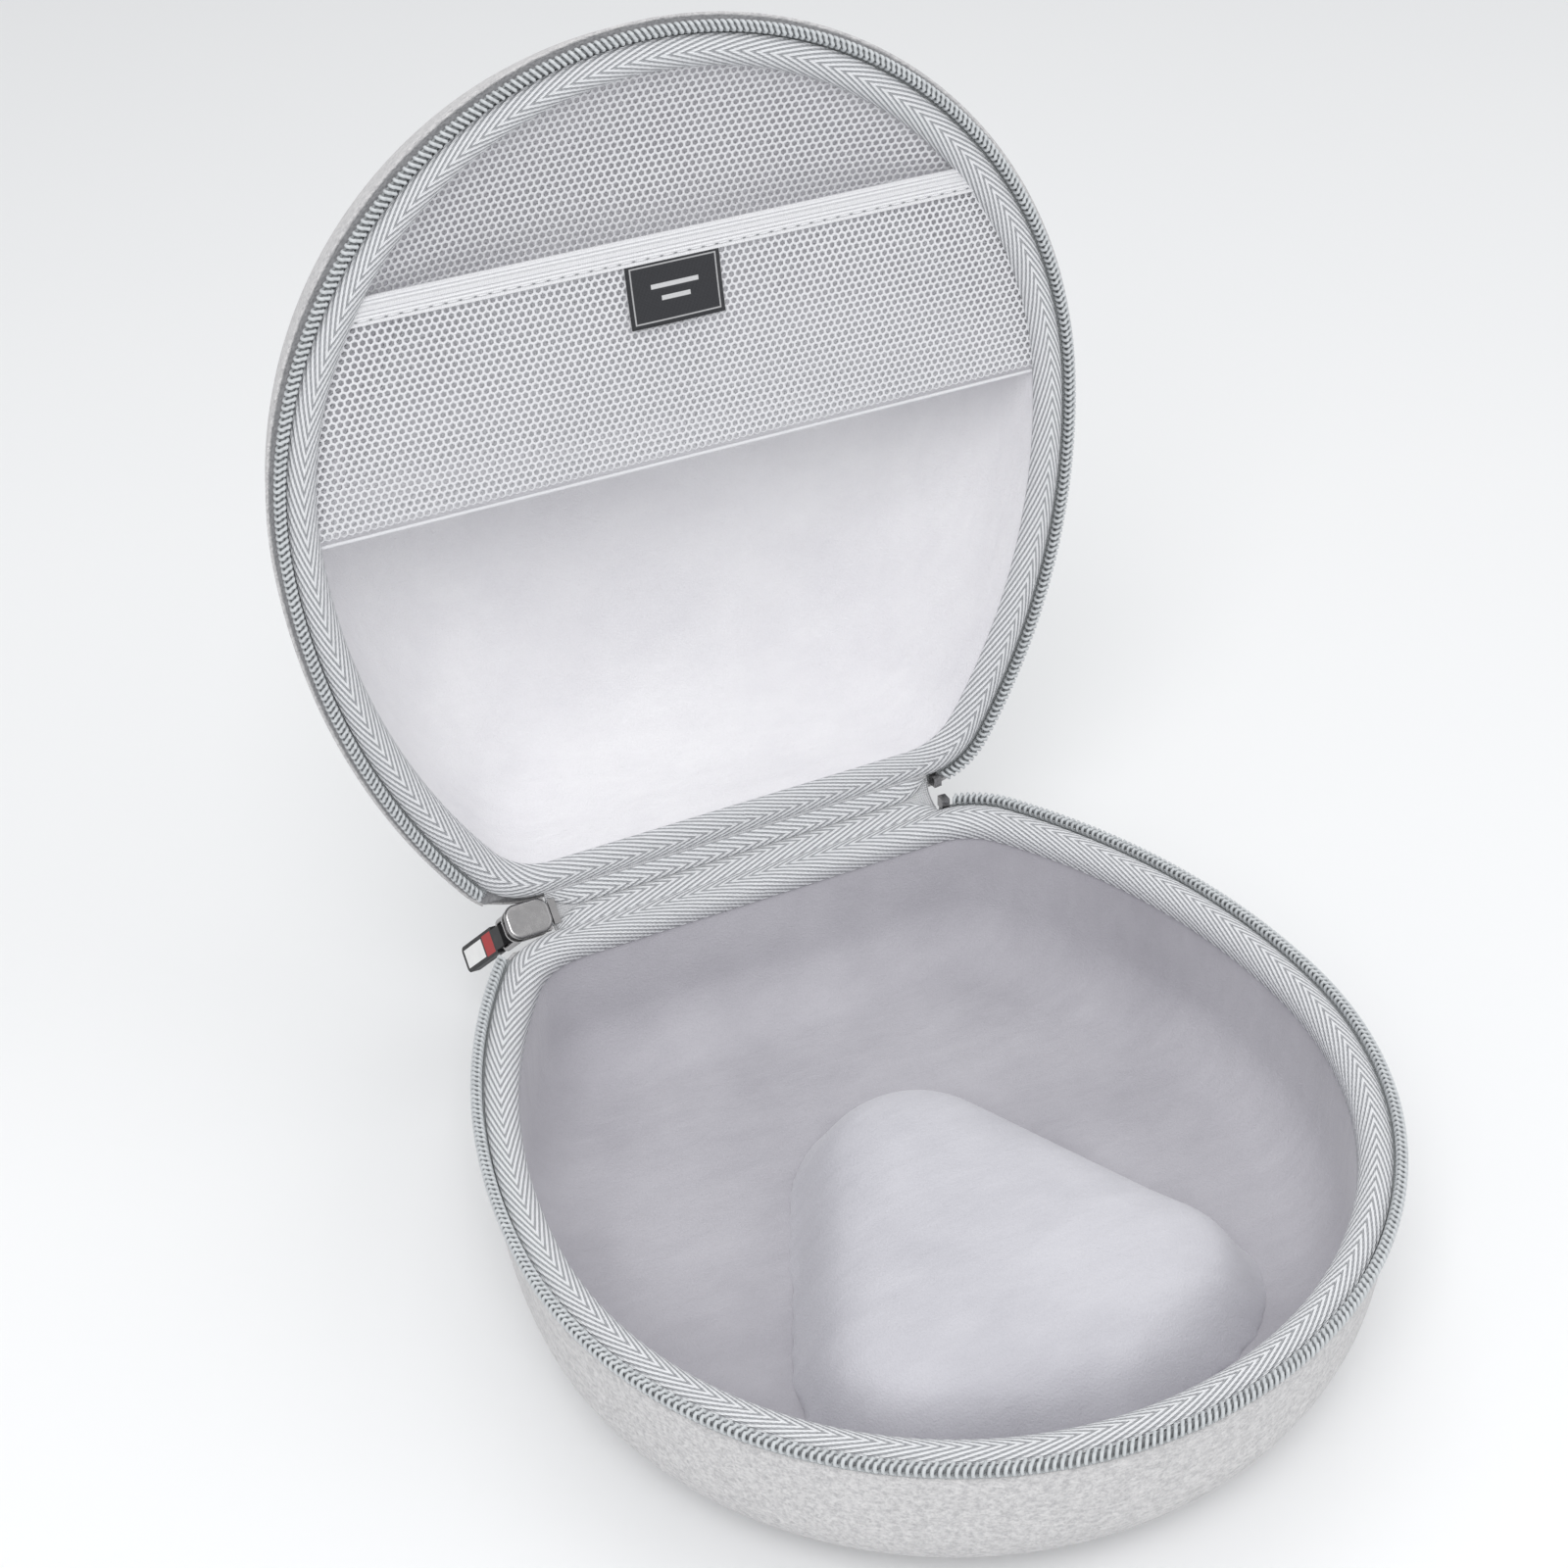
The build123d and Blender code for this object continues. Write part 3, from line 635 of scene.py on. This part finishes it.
nylon = Finish("coil_nylon", Roughness=0.42, Specular_IOR_Level=0.45)
shade = nylon.grain(nylon.where(), 350, 2.0)
nylon.wear(
    Base_Color=nylon.mix(shade, (0.46, 0.48, 0.495), (0.66, 0.685, 0.70)),
    Roughness=shade * 0.2 + 0.34,
    Normal=nylon.relief(nylon.grain(nylon.where(), 2500), 0.05 * MM),
)
filler = Finish("filler_cord", Roughness=0.9)
strand = filler.grain(filler.where(), 1500)
filler.wear(
    Base_Color=filler.mix(strand, (0.12, 0.125, 0.13), (0.24, 0.25, 0.26)), Normal=filler.relief(strand, 0.1 * MM)
)

coil_tree, source, sink = new_tree("coil_loops", ("Pitch", "Wide", "Tall", "Wire"))
turn_line = place(coil_tree, "GeometryNodeCurvePrimitiveCircle", {}, {"Resolution": 14, "Radius": 0.5}).outputs[0]
spot = place(coil_tree, "ShaderNodeSeparateXYZ", {}, {0: coil_tree.nodes.new("GeometryNodeInputPosition").outputs[0]})
side, rise = spot.outputs[0], spot.outputs[1]


def tree_sum(operation, first, second=0.0):
    return place(coil_tree, "ShaderNodeMath", {"operation": operation}, {0: first, 1: second}).outputs[0]


middle = tree_sum("MAXIMUM", tree_sum("SUBTRACT", 1.0, tree_sum("MULTIPLY", tree_sum("ABSOLUTE", side), 4.2)), 0.0)
top_only = tree_sum("MAXIMUM", rise, 0.0)
dip = tree_sum("MULTIPLY", tree_sum("MULTIPLY", middle, top_only), 0.9)
wide = tree_sum("MULTIPLY", side, source.outputs["Wide"])
tall = tree_sum("MULTIPLY", tree_sum("SUBTRACT", rise, dip), source.outputs["Tall"])
lean = tree_sum("MULTIPLY", tree_sum("MULTIPLY", side, source.outputs["Pitch"]), 0.75)
bent = place(coil_tree, "ShaderNodeCombineXYZ", {}, {0: lean, 1: wide, 2: tall}).outputs[0]
shaped = place(coil_tree, "GeometryNodeSetPosition", {}, {"Geometry": turn_line, "Position": bent}).outputs[0]
section = place(
    coil_tree, "GeometryNodeCurvePrimitiveCircle", {}, {"Resolution": 6, "Radius": source.outputs["Wire"]}
).outputs[0]
loop_mesh = place(coil_tree, "GeometryNodeCurveToMesh", {}, {"Curve": shaped, "Profile Curve": section}).outputs[0]
along_line(coil_tree, (source, sink), source.outputs["Pitch"], loop_mesh, nylon.material)


def rounded_tube(path, wide, tall, sides=8):
    """Rows of an oval tube round a path drawn in x, y and height."""
    ahead = np.gradient(path, axis=0)
    ahead /= np.linalg.norm(ahead, axis=1, keepdims=True)
    out = np.stack([ahead[:, 1], -ahead[:, 0], 0 * ahead[:, 0]], -1)
    turns = np.linspace(0, 2 * pi, sides, endpoint=False)
    return np.array([path + out * (wide / 2 * cos(a)) + (0, 0, tall / 2 * sin(a)) for a in turns])


def zip_coil(name, path, half):
    """Coil loops and the cord inside them, along a path drawn before it is put on its half."""
    sizes = {"Pitch": COIL_PITCH, "Wide": COIL_WIDE, "Tall": COIL_TALL, "Wire": WIRE_R}
    mesh = into_mesh(coil_tree, polyline(path), sizes)
    flat = np.array([v.co for v in mesh.vertices])
    if half != "zip_end":
        flat[:, 2] = 2 * path[0][2] - flat[:, 2]
    mesh.vertices.foreach_set("co", seat(flat, half).astype(np.float32).ravel())
    coil = new_piece(name, mesh, nylon.material)
    cord = skin(
        f"{name}_filler",
        seat(rounded_tube(np.array(path), COIL_WIDE * 0.55, COIL_TALL * 0.62), half),
        filler.material,
        ring=False,
        loop=True,
    )
    for piece in (coil, cord):
        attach(piece, half)
    return coil


coil_height = COIL_LOW - COIL_TALL / 2 - 0.1 * MM
for half in ("base", "lid"):
    coil = zip_coil(f"{half}_coil", zip_line(COIL_INSET, coil_height, 1400)[8:-14], half)
    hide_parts(f"{half}_zip_chain")

# ---------------------------------------------------------------- parked chain and stops
# The last closed loops of both rows, held in the slider where the zip ends, and the small
# pressed metal stops that close off each open row and the chain.
chain_from, chain_to = (corner.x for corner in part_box("parked_zip_chain"))
ROW_APART = 3.1 * MM
for row, side in (("lower", -1), ("upper", 1)):
    steps = np.linspace(chain_from + 0.5 * MM, chain_to - 0.3 * MM, 12)
    path = np.stack([steps, 0 * steps, 0 * steps + side * ROW_APART / 2], -1)
    coil = zip_coil(f"parked_coil_{row}", path, "zip_end")
    if row == "lower":
        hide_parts("parked_zip_chain")

metal = Finish("gunmetal_plate", Metallic=1.0, Roughness=0.24, Specular_IOR_Level=0.5)
smear = metal.grain(metal.where(), 180, 3.0)
scuff = metal.grain(metal.where(0.4, (900, 120, 900)), 1.0, 3.0)
metal.wear(
    Base_Color=metal.mix(smear, (0.30, 0.295, 0.30), (0.44, 0.43, 0.43)),
    Roughness=smear * 0.14 + scuff * 0.12 + 0.14,
    Normal=metal.relief(scuff, 0.01 * MM),
)
for node in ("base_zip_stop", "lid_zip_stop", "zip_end_stop", "slider_body", "slider_bridge", "pull_link"):
    refinish(node, metal.material)
spring = Finish("spring_steel", Metallic=1.0, Roughness=0.3)
drawn = spring.grain(spring.where(0.0, (200, 2000, 2000)), 1.0)
spring.wear(Base_Color=spring.mix(drawn, (0.5, 0.5, 0.5), (0.66, 0.65, 0.64)), Roughness=drawn * 0.2 + 0.22)
refinish("slider_lock_spring", spring.material)

# ---------------------------------------------------------------- rim binding
# Herringbone polyester tape sewn over the inner edge of each rim. It is slightly crowned
# over the tape below, and turns down into the case to hide the lining's cut edge.
BINDING_LINE = (
    (2.75, -0.55), (2.95, -1.3), (3.8, -2.0), (5.1, -2.42), (6.5, -2.45), (7.9, -2.15), (9.1, -1.5), (9.95, -0.55),
    (10.35, 0.6),
)
BINDING_T = 0.45
BINDING_DROP = {"base": 3.4, "lid": 1.0}
HERRING_PITCH, HERRING_SLOPE, HERRING_MID = 3.4 * MM, 3.0, 4.9 * MM

herring = Finish("herringbone_tape", Roughness=0.7, Sheen_Weight=0.15, Specular_IOR_Level=0.3)
along, across = herring.cloth_uv()
from_mid = herring.size(across - HERRING_MID)
wander = herring.grain(herring.where(), 240, 2.0) * (0.35 * MM)
rib = herring.wave(along + from_mid * HERRING_SLOPE + wander, HERRING_PITCH)
broad_rib = herring.step(rib, 0.06, 0.55)
yarn = herring.wave(across + wander, 0.42 * MM)
lint = herring.grain(herring.where(), 1300, 2.0)
tone = broad_rib * 0.66 + yarn * 0.14 + lint * 0.2
herring.wear(
    Base_Color=herring.mix(tone, (0.30, 0.31, 0.335), (0.95, 0.96, 0.98)),
    Roughness=broad_rib * 0.15 + 0.6,
    Normal=herring.relief(broad_rib * 0.9 + yarn * 0.3 + lint * 0.2, 0.4 * MM),
)


def binding_profile(drop):
    """Closed cross-section: inset and height from the rim, outer face first."""
    face = [*BINDING_LINE, (10.4, drop)]
    back = [(inset - (0.5 if height > -0.9 else 0.0), height + BINDING_T) for inset, height in face[1:]]
    return np.array([*face, *back[::-1]]) * MM


for half, drop in BINDING_DROP.items():
    profile = binding_profile(drop)
    way = 1 if half == "base" else -1
    rows = [np.column_stack([rim_line(i)[::way], np.full(len(outline), h)]) for i, h in profile]
    binding = skin(f"{half}_binding_tape", seat(rows, half), herring.material, loop=True)
    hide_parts(f"{half}_binding")
    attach(binding, half)

# ---------------------------------------------------------------- hinge cloth
# Two strips join the halves along the flat back: the outer one is sewn to both walls, and
# the inner one runs from under one binding to under the other, close to the hinge line.
OUTER_HALF, INNER_HALF = 52.5 * MM, 55.5 * MM
SHEET_T = 0.6 * MM
OUTER_LINE = ((105.15, 33.8), (105.5, 40.0), (105.75, 46.0), (106.3, 48.2), (108.6, 49.55), (111.4, 50.2),
              (114.0, 50.35), (119.0, 51.05), (125.2, 52.1))
INNER_LINE = ((100.6, 48.6), (103.4, 48.9), (105.4, 49.6), (107.0, 50.6), (107.95, 51.35), (108.6, 52.4),
              (109.3, 54.3), (109.9, 56.6), (110.2, 59.0))


def smooth_line(points, steps):
    """A soft line through a few given points."""
    points = np.array(points) * MM
    reach = np.concatenate([[0], np.cumsum(np.linalg.norm(np.diff(points, axis=0), axis=1))])
    at = np.linspace(0, reach[-1], steps)
    line = np.stack([np.interp(at, reach, points[:, axis]) for axis in (0, 1)], -1)
    for _ in range(6):
        line[1:-1] = (line[:-2] + 2 * line[1:-1] + line[2:]) / 4
    return line


def hinge_strip(name, line, half_length, thick, out):
    """A strip of cloth along X whose section follows a line in Y and Z."""
    ahead = np.gradient(line, axis=0)
    ahead /= np.linalg.norm(ahead, axis=1, keepdims=True)
    off = np.stack([ahead[:, 1], -ahead[:, 0]], -1) * thick * out
    section = np.concatenate([line, (line + off)[::-1]])
    x = np.linspace(-half_length, half_length, 61)
    rows = [np.column_stack([x, np.full(61, y), np.full(61, z)]) for y, z in section]
    return skin(name, rows, hinge_weave.material, ring=False, loop=True)


hinge_weave = Finish("hinge_weave", Roughness=0.85, Sheen_Weight=0.1)
along, across = hinge_weave.cloth_uv()
warp = hinge_weave.wave(along, 0.62 * MM)
weft = hinge_weave.wave(across, 0.62 * MM)
flecks = hinge_weave.grain(hinge_weave.where(), 900)
hinge_weave.wear(
    Base_Color=hinge_weave.mix(warp * 0.25 + weft * 0.25 + flecks * 0.5, (0.46, 0.465, 0.485), (0.72, 0.725, 0.74)),
    Roughness=flecks * 0.15 + 0.76,
    Normal=hinge_weave.relief(warp + weft, 0.15 * MM),
)
outer_line, inner_line = smooth_line(OUTER_LINE, 48), smooth_line(INNER_LINE, 36)
outer_hinge = hinge_strip("hinge_cloth_outer", outer_line, OUTER_HALF, SHEET_T, 1)
inner_hinge = hinge_strip("hinge_cloth_inner", inner_line, INNER_HALF, SHEET_T * 0.7, 1)
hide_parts("base_hinge_leaf", "lid_hinge_leaf")
for strip, line, half_length in ((outer_hinge, outer_line, OUTER_HALF), (inner_hinge, inner_line, INNER_HALF)):
    cut = float(np.linalg.norm(np.diff(line, axis=0), axis=1).sum())
    2 * half_length
    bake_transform(strip)

# The bindings are padded out by a soft roll along the hinge, and the two rolls meet in a crease.
ROLL_LINE = ((4.6, -1.3), (3.3, -2.05), (1.7, -2.95), (0.2, -3.5), (-1.2, -3.78), (-1.6, -3.55), (-1.3, -3.1),
             (0.2, -2.7), (1.7, -2.1), (3.4, -1.1), (4.6, -1.0))
ROLL_HALF = 55.0 * MM
for half in ("base", "lid"):
    x = np.linspace(-ROLL_HALF, ROLL_HALF, 91)
    tuck = 1 - np.clip((np.abs(x) - ROLL_HALF + 9 * MM) / (9 * MM), 0, 1) ** 2 * 0.55
    rows = []
    for inset, height in ROLL_LINE:
        out = 4.6 * MM - (4.6 - inset) * MM * tuck
        rise = -1.3 * MM + (height + 1.3) * MM * tuck
        rows.append(np.column_stack([x, HALF_DEPTH - out, rise]))
    roll = skin(f"{half}_hinge_roll", seat(rows, half), herring.material, ring=False, loop=True)
    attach(roll, half)

# ---------------------------------------------------------------- pocket nets
# Two pieces of warp-knitted nylon net: the back one hangs from rim to rim behind the pocket
# and bellies a little into the dome, and the front one is pulled flat up to the elastic.
NET_EDGE = 1.2 * MM
NET_R = HALF_WIDTH - CAVITY_INSET + NET_EDGE
HEM_Y, ELASTIC_Y = HINGE.y - 110 * MM, HINGE.y - 160 * MM
NET_PITCH, NET_HOLE, NET_T = 1.85 * MM, 0.74 * MM, 0.3 * MM
BELLY, BELLY_REACH = 8.0 * MM, 34 * MM
BACK_NET_H, FRONT_NET_H = 1.5 * MM, 0.8 * MM


def chord_half(y, shrink=0.0):
    """Half the pocket's width at y."""
    return sqrt(max((NET_R - shrink) ** 2 - (y - MID_Y) ** 2, 0))


def net_piece(name, low_y, high_y, height, belly):
    """Net of six-sided holes between two straight edges, inside the round rim."""
    step_y = NET_PITCH * sqrt(0.75)
    columns, rows = int(NET_R / NET_PITCH) + 2, int((high_y - low_y) / step_y) + 1
    points, faces = {}, []

    def spot(x, y):
        key = (round(x * 1e6), round(y * 1e6))
        return points.setdefault(key, len(points))

    turns = [(cos(radians(30 + 60 * k)), sin(radians(30 + 60 * k))) for k in range(6)]
    for row in range(rows):
        for column in range(-columns, columns + 1):
            x = (column + row % 2 / 2) * NET_PITCH
            y = high_y - NET_PITCH / 2 - row * step_y
            if y - NET_PITCH / 2 < low_y or x * x + (y - MID_Y) ** 2 > (NET_R - NET_PITCH / 2) ** 2:
                continue
            outer = [spot(x + a * NET_PITCH / sqrt(3), y + b * NET_PITCH / sqrt(3)) for a, b in turns]
            inner = [spot(x + a * NET_HOLE, y + b * NET_HOLE) for a, b in turns]
            for k in range(6):
                faces.append((outer[k], outer[(k + 1) % 6], inner[(k + 1) % 6], inner[k]))
    flat = np.array([(x, y) for x, y in points], float) * 1e-6
    from_rim = NET_R - np.hypot(flat[:, 0], flat[:, 1] - MID_Y)
    from_edge = np.minimum(np.minimum(from_rim, high_y - flat[:, 1]), flat[:, 1] - low_y + BELLY_REACH)
    ease = np.clip(from_edge / BELLY_REACH, 0, 1)
    sag = belly * (1 - (1 - ease) ** 2)
    mesh = bpy.data.meshes.new(name)
    mesh.from_pydata([tuple(p) for p in seat(np.column_stack([flat, height + sag]), "lid")], [], faces)
    net = new_piece(name, mesh, net_nylon.material)
    thick = net.modifiers.new("thick", "SOLIDIFY")
    thick.thickness, thick.offset = NET_T, 0.0
    return fixed(net)


net_nylon = Finish("net_nylon", Roughness=0.55, Sheen_Weight=0.1, Specular_IOR_Level=0.35)
threads = net_nylon.grain(net_nylon.where(), 2600, 2.0)
cast = net_nylon.grain(net_nylon.where(), 40, 2.0)
net_nylon.wear(
    Base_Color=net_nylon.mix(threads * 0.7 + cast * 0.3, (0.60, 0.605, 0.63), (0.84, 0.84, 0.86)),
    Roughness=threads * 0.2 + 0.45,
    Normal=net_nylon.relief(threads, 0.08 * MM),
)
back_net = net_piece("pocket_back_net_mesh", MID_Y - NET_R, HEM_Y - 2 * MM, BACK_NET_H, BELLY)
front_net = net_piece("pocket_front_net_mesh", ELASTIC_Y - 3 * MM, HEM_Y - 2 * MM, FRONT_NET_H, 0.0)


def segment_area(low_y, high_y):
    """Area of the round pocket between two chords."""
    steps = np.linspace(max(low_y, MID_Y - NET_R), high_y, 200)
    return sum(2 * chord_half(y) for y in steps) / 200 * float(steps[-1] - steps[0])


for net, node, low_y in (
    (back_net, "pocket_back_net", MID_Y - NET_R),
    (front_net, "pocket_front_net", ELASTIC_Y - 3 * MM),
):
    high_y = HEM_Y - 2 * MM
    cut = (2 * chord_half(high_y), high_y - low_y)
    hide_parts(node)
    segment_area(low_y, high_y)
    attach(net, "lid")

# ---------------------------------------------------------------- stitches
# Short runs of polyester thread, sunk at each needle hole, wherever two cloths are sewn; each hole is a dark dot of
# painted shade.
thread = Finish("sewing_thread", Roughness=0.6, Sheen_Weight=0.1)
twist = thread.grain(thread.where(), 1800)
thread.wear(Base_Color=thread.mix(twist, (0.46, 0.47, 0.50), (0.66, 0.67, 0.69)), Normal=thread.relief(twist, 0.05 * MM))
# Dark grey dots of painted shade, standing for the depth of the needle holes.
hole_shade = Finish("painted_hole_shade", Roughness=0.9)
hole_shade_grain = hole_shade.grain(hole_shade.where(), 1500)
hole_shade.wear(Base_Color=hole_shade.mix(hole_shade_grain, (0.16, 0.165, 0.18), (0.28, 0.285, 0.30)))

stitch_tree, source, sink = new_tree("stitches", ("Spacing", "Length", "Thick"))
bead = place(stitch_tree, "GeometryNodeMeshUVSphere", {}, {"Segments": 8, "Rings": 5, "Radius": 0.5}).outputs[0]
drawn_out = place(
    stitch_tree,
    "ShaderNodeCombineXYZ",
    {},
    {0: source.outputs["Length"], 1: source.outputs["Thick"], 2: source.outputs["Thick"]},
).outputs[0]
stitch = place(stitch_tree, "GeometryNodeTransform", {}, {"Geometry": bead, "Scale": drawn_out}).outputs[0]
along_line(stitch_tree, (source, sink), source.outputs["Spacing"], stitch, thread.material)


def stitch_row(name, lines, body, material, spacing, length, thick):
    """Rows of stitches along lines in the case's own place, as one piece."""
    made = bmesh.new()
    for line in lines:
        mesh = into_mesh(stitch_tree, polyline(line), {"Spacing": spacing, "Length": length, "Thick": thick})
        made.from_mesh(mesh)
        bpy.data.meshes.remove(mesh)
    mesh = bpy.data.meshes.new(name)
    made.to_mesh(mesh)
    made.free()
    row = new_piece(name, mesh, material)
    if body:
        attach(row, body)
    return row


# ---------------------------------------------------------------- hem and elastic
# The net's straight edge is turned over and sewn as a narrow hem. The mouth of the pocket is
# finished with ribbed white elastic, sewn on along its lower edge and into both rims.
HEM_W, HEM_T = 0.9 * MM, 0.5 * MM
ELASTIC_W, ELASTIC_T, ELASTIC_RIBS = 6.5 * MM, 1.3 * MM, 6
SEAM_IN = 1.3 * MM
POCKET_SEAM, SEAM_HOLE, SEAM_THICK = 3.5 * MM, 0.9 * MM, 0.34 * MM

ribbed = Finish("ribbed_elastic", Roughness=0.7, Sheen_Weight=0.15)
along, across = ribbed.cloth_uv()
cross = ribbed.wave(along, 0.55 * MM)
ridges = ribbed.wave(across, 1.05 * MM)
fuzz = ribbed.grain(ribbed.where(), 1200)
ribbed.wear(
    Base_Color=ribbed.mix(ridges * 0.4 + cross * 0.25 + fuzz * 0.35, (0.62, 0.62, 0.645), (0.90, 0.90, 0.915)),
    Roughness=fuzz * 0.2 + 0.6,
    Normal=ribbed.relief(ridges * 0.8 + cross * 0.5, 0.16 * MM),
)


def pocket_strip(name, node, low_y, high_y, height, thick, ribs, material):
    """A strip across the pocket, its ends cut to the round rim; height is of its back face."""
    across = np.linspace(0, 1, 6 * ribs + 1)
    front = height - thick * (0.72 + 0.28 * np.abs(np.sin(np.pi * across * ribs)) ** 0.6)
    front[0] = front[-1] = height - thick * 0.35
    y = low_y + across * (high_y - low_y)
    section = [*zip(y, front), (high_y, height), (low_y, height)]
    share = np.linspace(-1, 1, 121)
    rows = [np.column_stack([share * chord_half(a), np.full(121, a), np.full(121, h)]) for a, h in section]
    strip = skin(name, seat(rows, "lid"), material, ring=False, loop=True)
    if node:
        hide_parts(node)
    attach(strip, "lid")
    return strip


def pocket_seam(y, height, reach=3 * MM):
    """Points straight across the pocket."""
    x = np.linspace(-chord_half(y) + reach, chord_half(y) - reach, 80)
    return seat(np.column_stack([x, np.full(80, y), np.full(80, height)]), "lid")


hem = pocket_strip(
    "pocket_hem_fold", "pocket_hem", HEM_Y - HEM_W, HEM_Y, FRONT_NET_H + 0.7 * MM, HEM_T, 1, net_nylon.material
)
elastic_face = FRONT_NET_H + 0.35 * MM
elastic = pocket_strip(
    "pocket_elastic_band",
    "pocket_elastic",
    ELASTIC_Y - ELASTIC_W,
    ELASTIC_Y,
    elastic_face,
    ELASTIC_T,
    ELASTIC_RIBS,
    ribbed.material,
)
seam_height = elastic_face - ELASTIC_T * 0.95
# The needle holes are drawn as dark dots of painted shade.
stitch_row(
    "elastic_hole_shade_dots",
    [pocket_seam(ELASTIC_Y - SEAM_IN, seam_height)],
    "lid",
    hole_shade.material,
    POCKET_SEAM,
    SEAM_HOLE,
    SEAM_THICK,
)
stitch_row(
    "elastic_stitches",
    [pocket_seam(ELASTIC_Y - SEAM_IN, seam_height + 0.02 * MM, 3 * MM + POCKET_SEAM / 2)],
    "lid",
    ribbed.material,
    POCKET_SEAM,
    POCKET_SEAM - SEAM_HOLE,
    SEAM_THICK,
)

# ---------------------------------------------------------------- label
# A folded woven label caught in the elastic's seam: black ground, a thin pale border and
# two plain bars. Its free lower corner stands a little off the net.
LABEL_LEFT, LABEL_RIGHT = -13 * MM, 11 * MM
LABEL_H, LABEL_T = 15.5 * MM, 0.35 * MM
LABEL_LIFT = 0.8 * MM
label_cloth = Finish("woven_label", Roughness=0.72, Sheen_Weight=0.1)
along, across = label_cloth.cloth_uv()
label_w = LABEL_RIGHT - LABEL_LEFT
from_side = label_w / 2 - label_cloth.size(along - label_w / 2)
from_end = LABEL_H / 2 - label_cloth.size(across - LABEL_H / 2)
inward = label_cloth.node("ShaderNodeMath", {"operation": "MINIMUM"}, {0: from_side, 1: from_end})
border = label_cloth.step(inward, 0.9 * MM, 1.0 * MM) * (1 - label_cloth.step(inward, 1.25 * MM, 1.35 * MM))
bars = None
for middle_at, half_wide in ((6.2 * MM, 6.0 * MM), (9.2 * MM, 3.6 * MM)):
    level = 1 - label_cloth.step(label_cloth.size(across - middle_at), 0.5 * MM, 0.62 * MM)
    inside = 1 - label_cloth.step(label_cloth.size(along - label_w / 2), half_wide, half_wide + 0.15 * MM)
    bars = level * inside if bars is None else bars + level * inside
weave = label_cloth.wave(along, 0.34 * MM) * 0.5 + label_cloth.wave(across, 0.34 * MM) * 0.5
ground = label_cloth.mix(weave, (0.008, 0.009, 0.012), (0.035, 0.036, 0.042))
label_cloth.wear(
    Base_Color=label_cloth.mix(border * 0.7 + bars, ground, (0.62, 0.62, 0.63)),
    Roughness=weave * 0.2 + 0.6,
    Normal=label_cloth.relief(weave, 0.12 * MM),
)
down = np.linspace(0, 1, 18)
label_rows = []
for face in (0, LABEL_T):
    sheet_rows = []
    for share in down:
        x = np.linspace(LABEL_LEFT, LABEL_RIGHT, 25)
        curl = LABEL_LIFT * share**2 * (0.5 + 0.5 * np.sin((x - LABEL_LEFT) / label_w * 2.2 + 0.6))
        height = -0.25 * MM - curl - (LABEL_T - face) + FRONT_NET_H - 0.2 * MM
        sheet_rows.append(np.column_stack([x, np.full(25, ELASTIC_Y - 0.6 * MM + share * LABEL_H), height]))
    label_rows.append(sheet_rows)
label = skin(
    "pocket_label_cloth", seat(label_rows[0] + label_rows[1][::-1], "lid"), label_cloth.material, ring=False, loop=True
)
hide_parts("pocket_label")
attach(label, "lid")

# ---------------------------------------------------------------- pull
# Soft moulded rubber tab on a wire link: black body, a red block let in near the link and a
# white ribbed panel below it, the same on both faces.
rubber = Finish("black_rubber", Roughness=0.55, Coat_Weight=0.05)
bloom = rubber.grain(rubber.where(), 400, 3.0)
rubber.wear(
    Base_Color=rubber.mix(bloom, (0.006, 0.006, 0.007), (0.016, 0.016, 0.018)),
    Roughness=bloom * 0.25 + 0.42,
    Normal=rubber.relief(bloom, 0.05 * MM),
)
red = Finish("red_rubber", Roughness=0.5)
bloom = red.grain(red.where(), 500, 3.0)
red.wear(Base_Color=red.mix(bloom, (0.30, 0.012, 0.014), (0.46, 0.022, 0.022)), Roughness=bloom * 0.2 + 0.4)
white = Finish("white_rubber", Roughness=0.5)
bloom = white.grain(white.where(), 500, 3.0)
white.wear(Base_Color=white.mix(bloom, (0.74, 0.74, 0.74), (0.86, 0.86, 0.85)), Roughness=bloom * 0.2 + 0.4)
refinish("pull_tab", rubber.material)
refinish("pull_tab_block", red.material)
refinish("pull_tab_panel", white.material)

bpy.data.objects.remove(notch_tool)
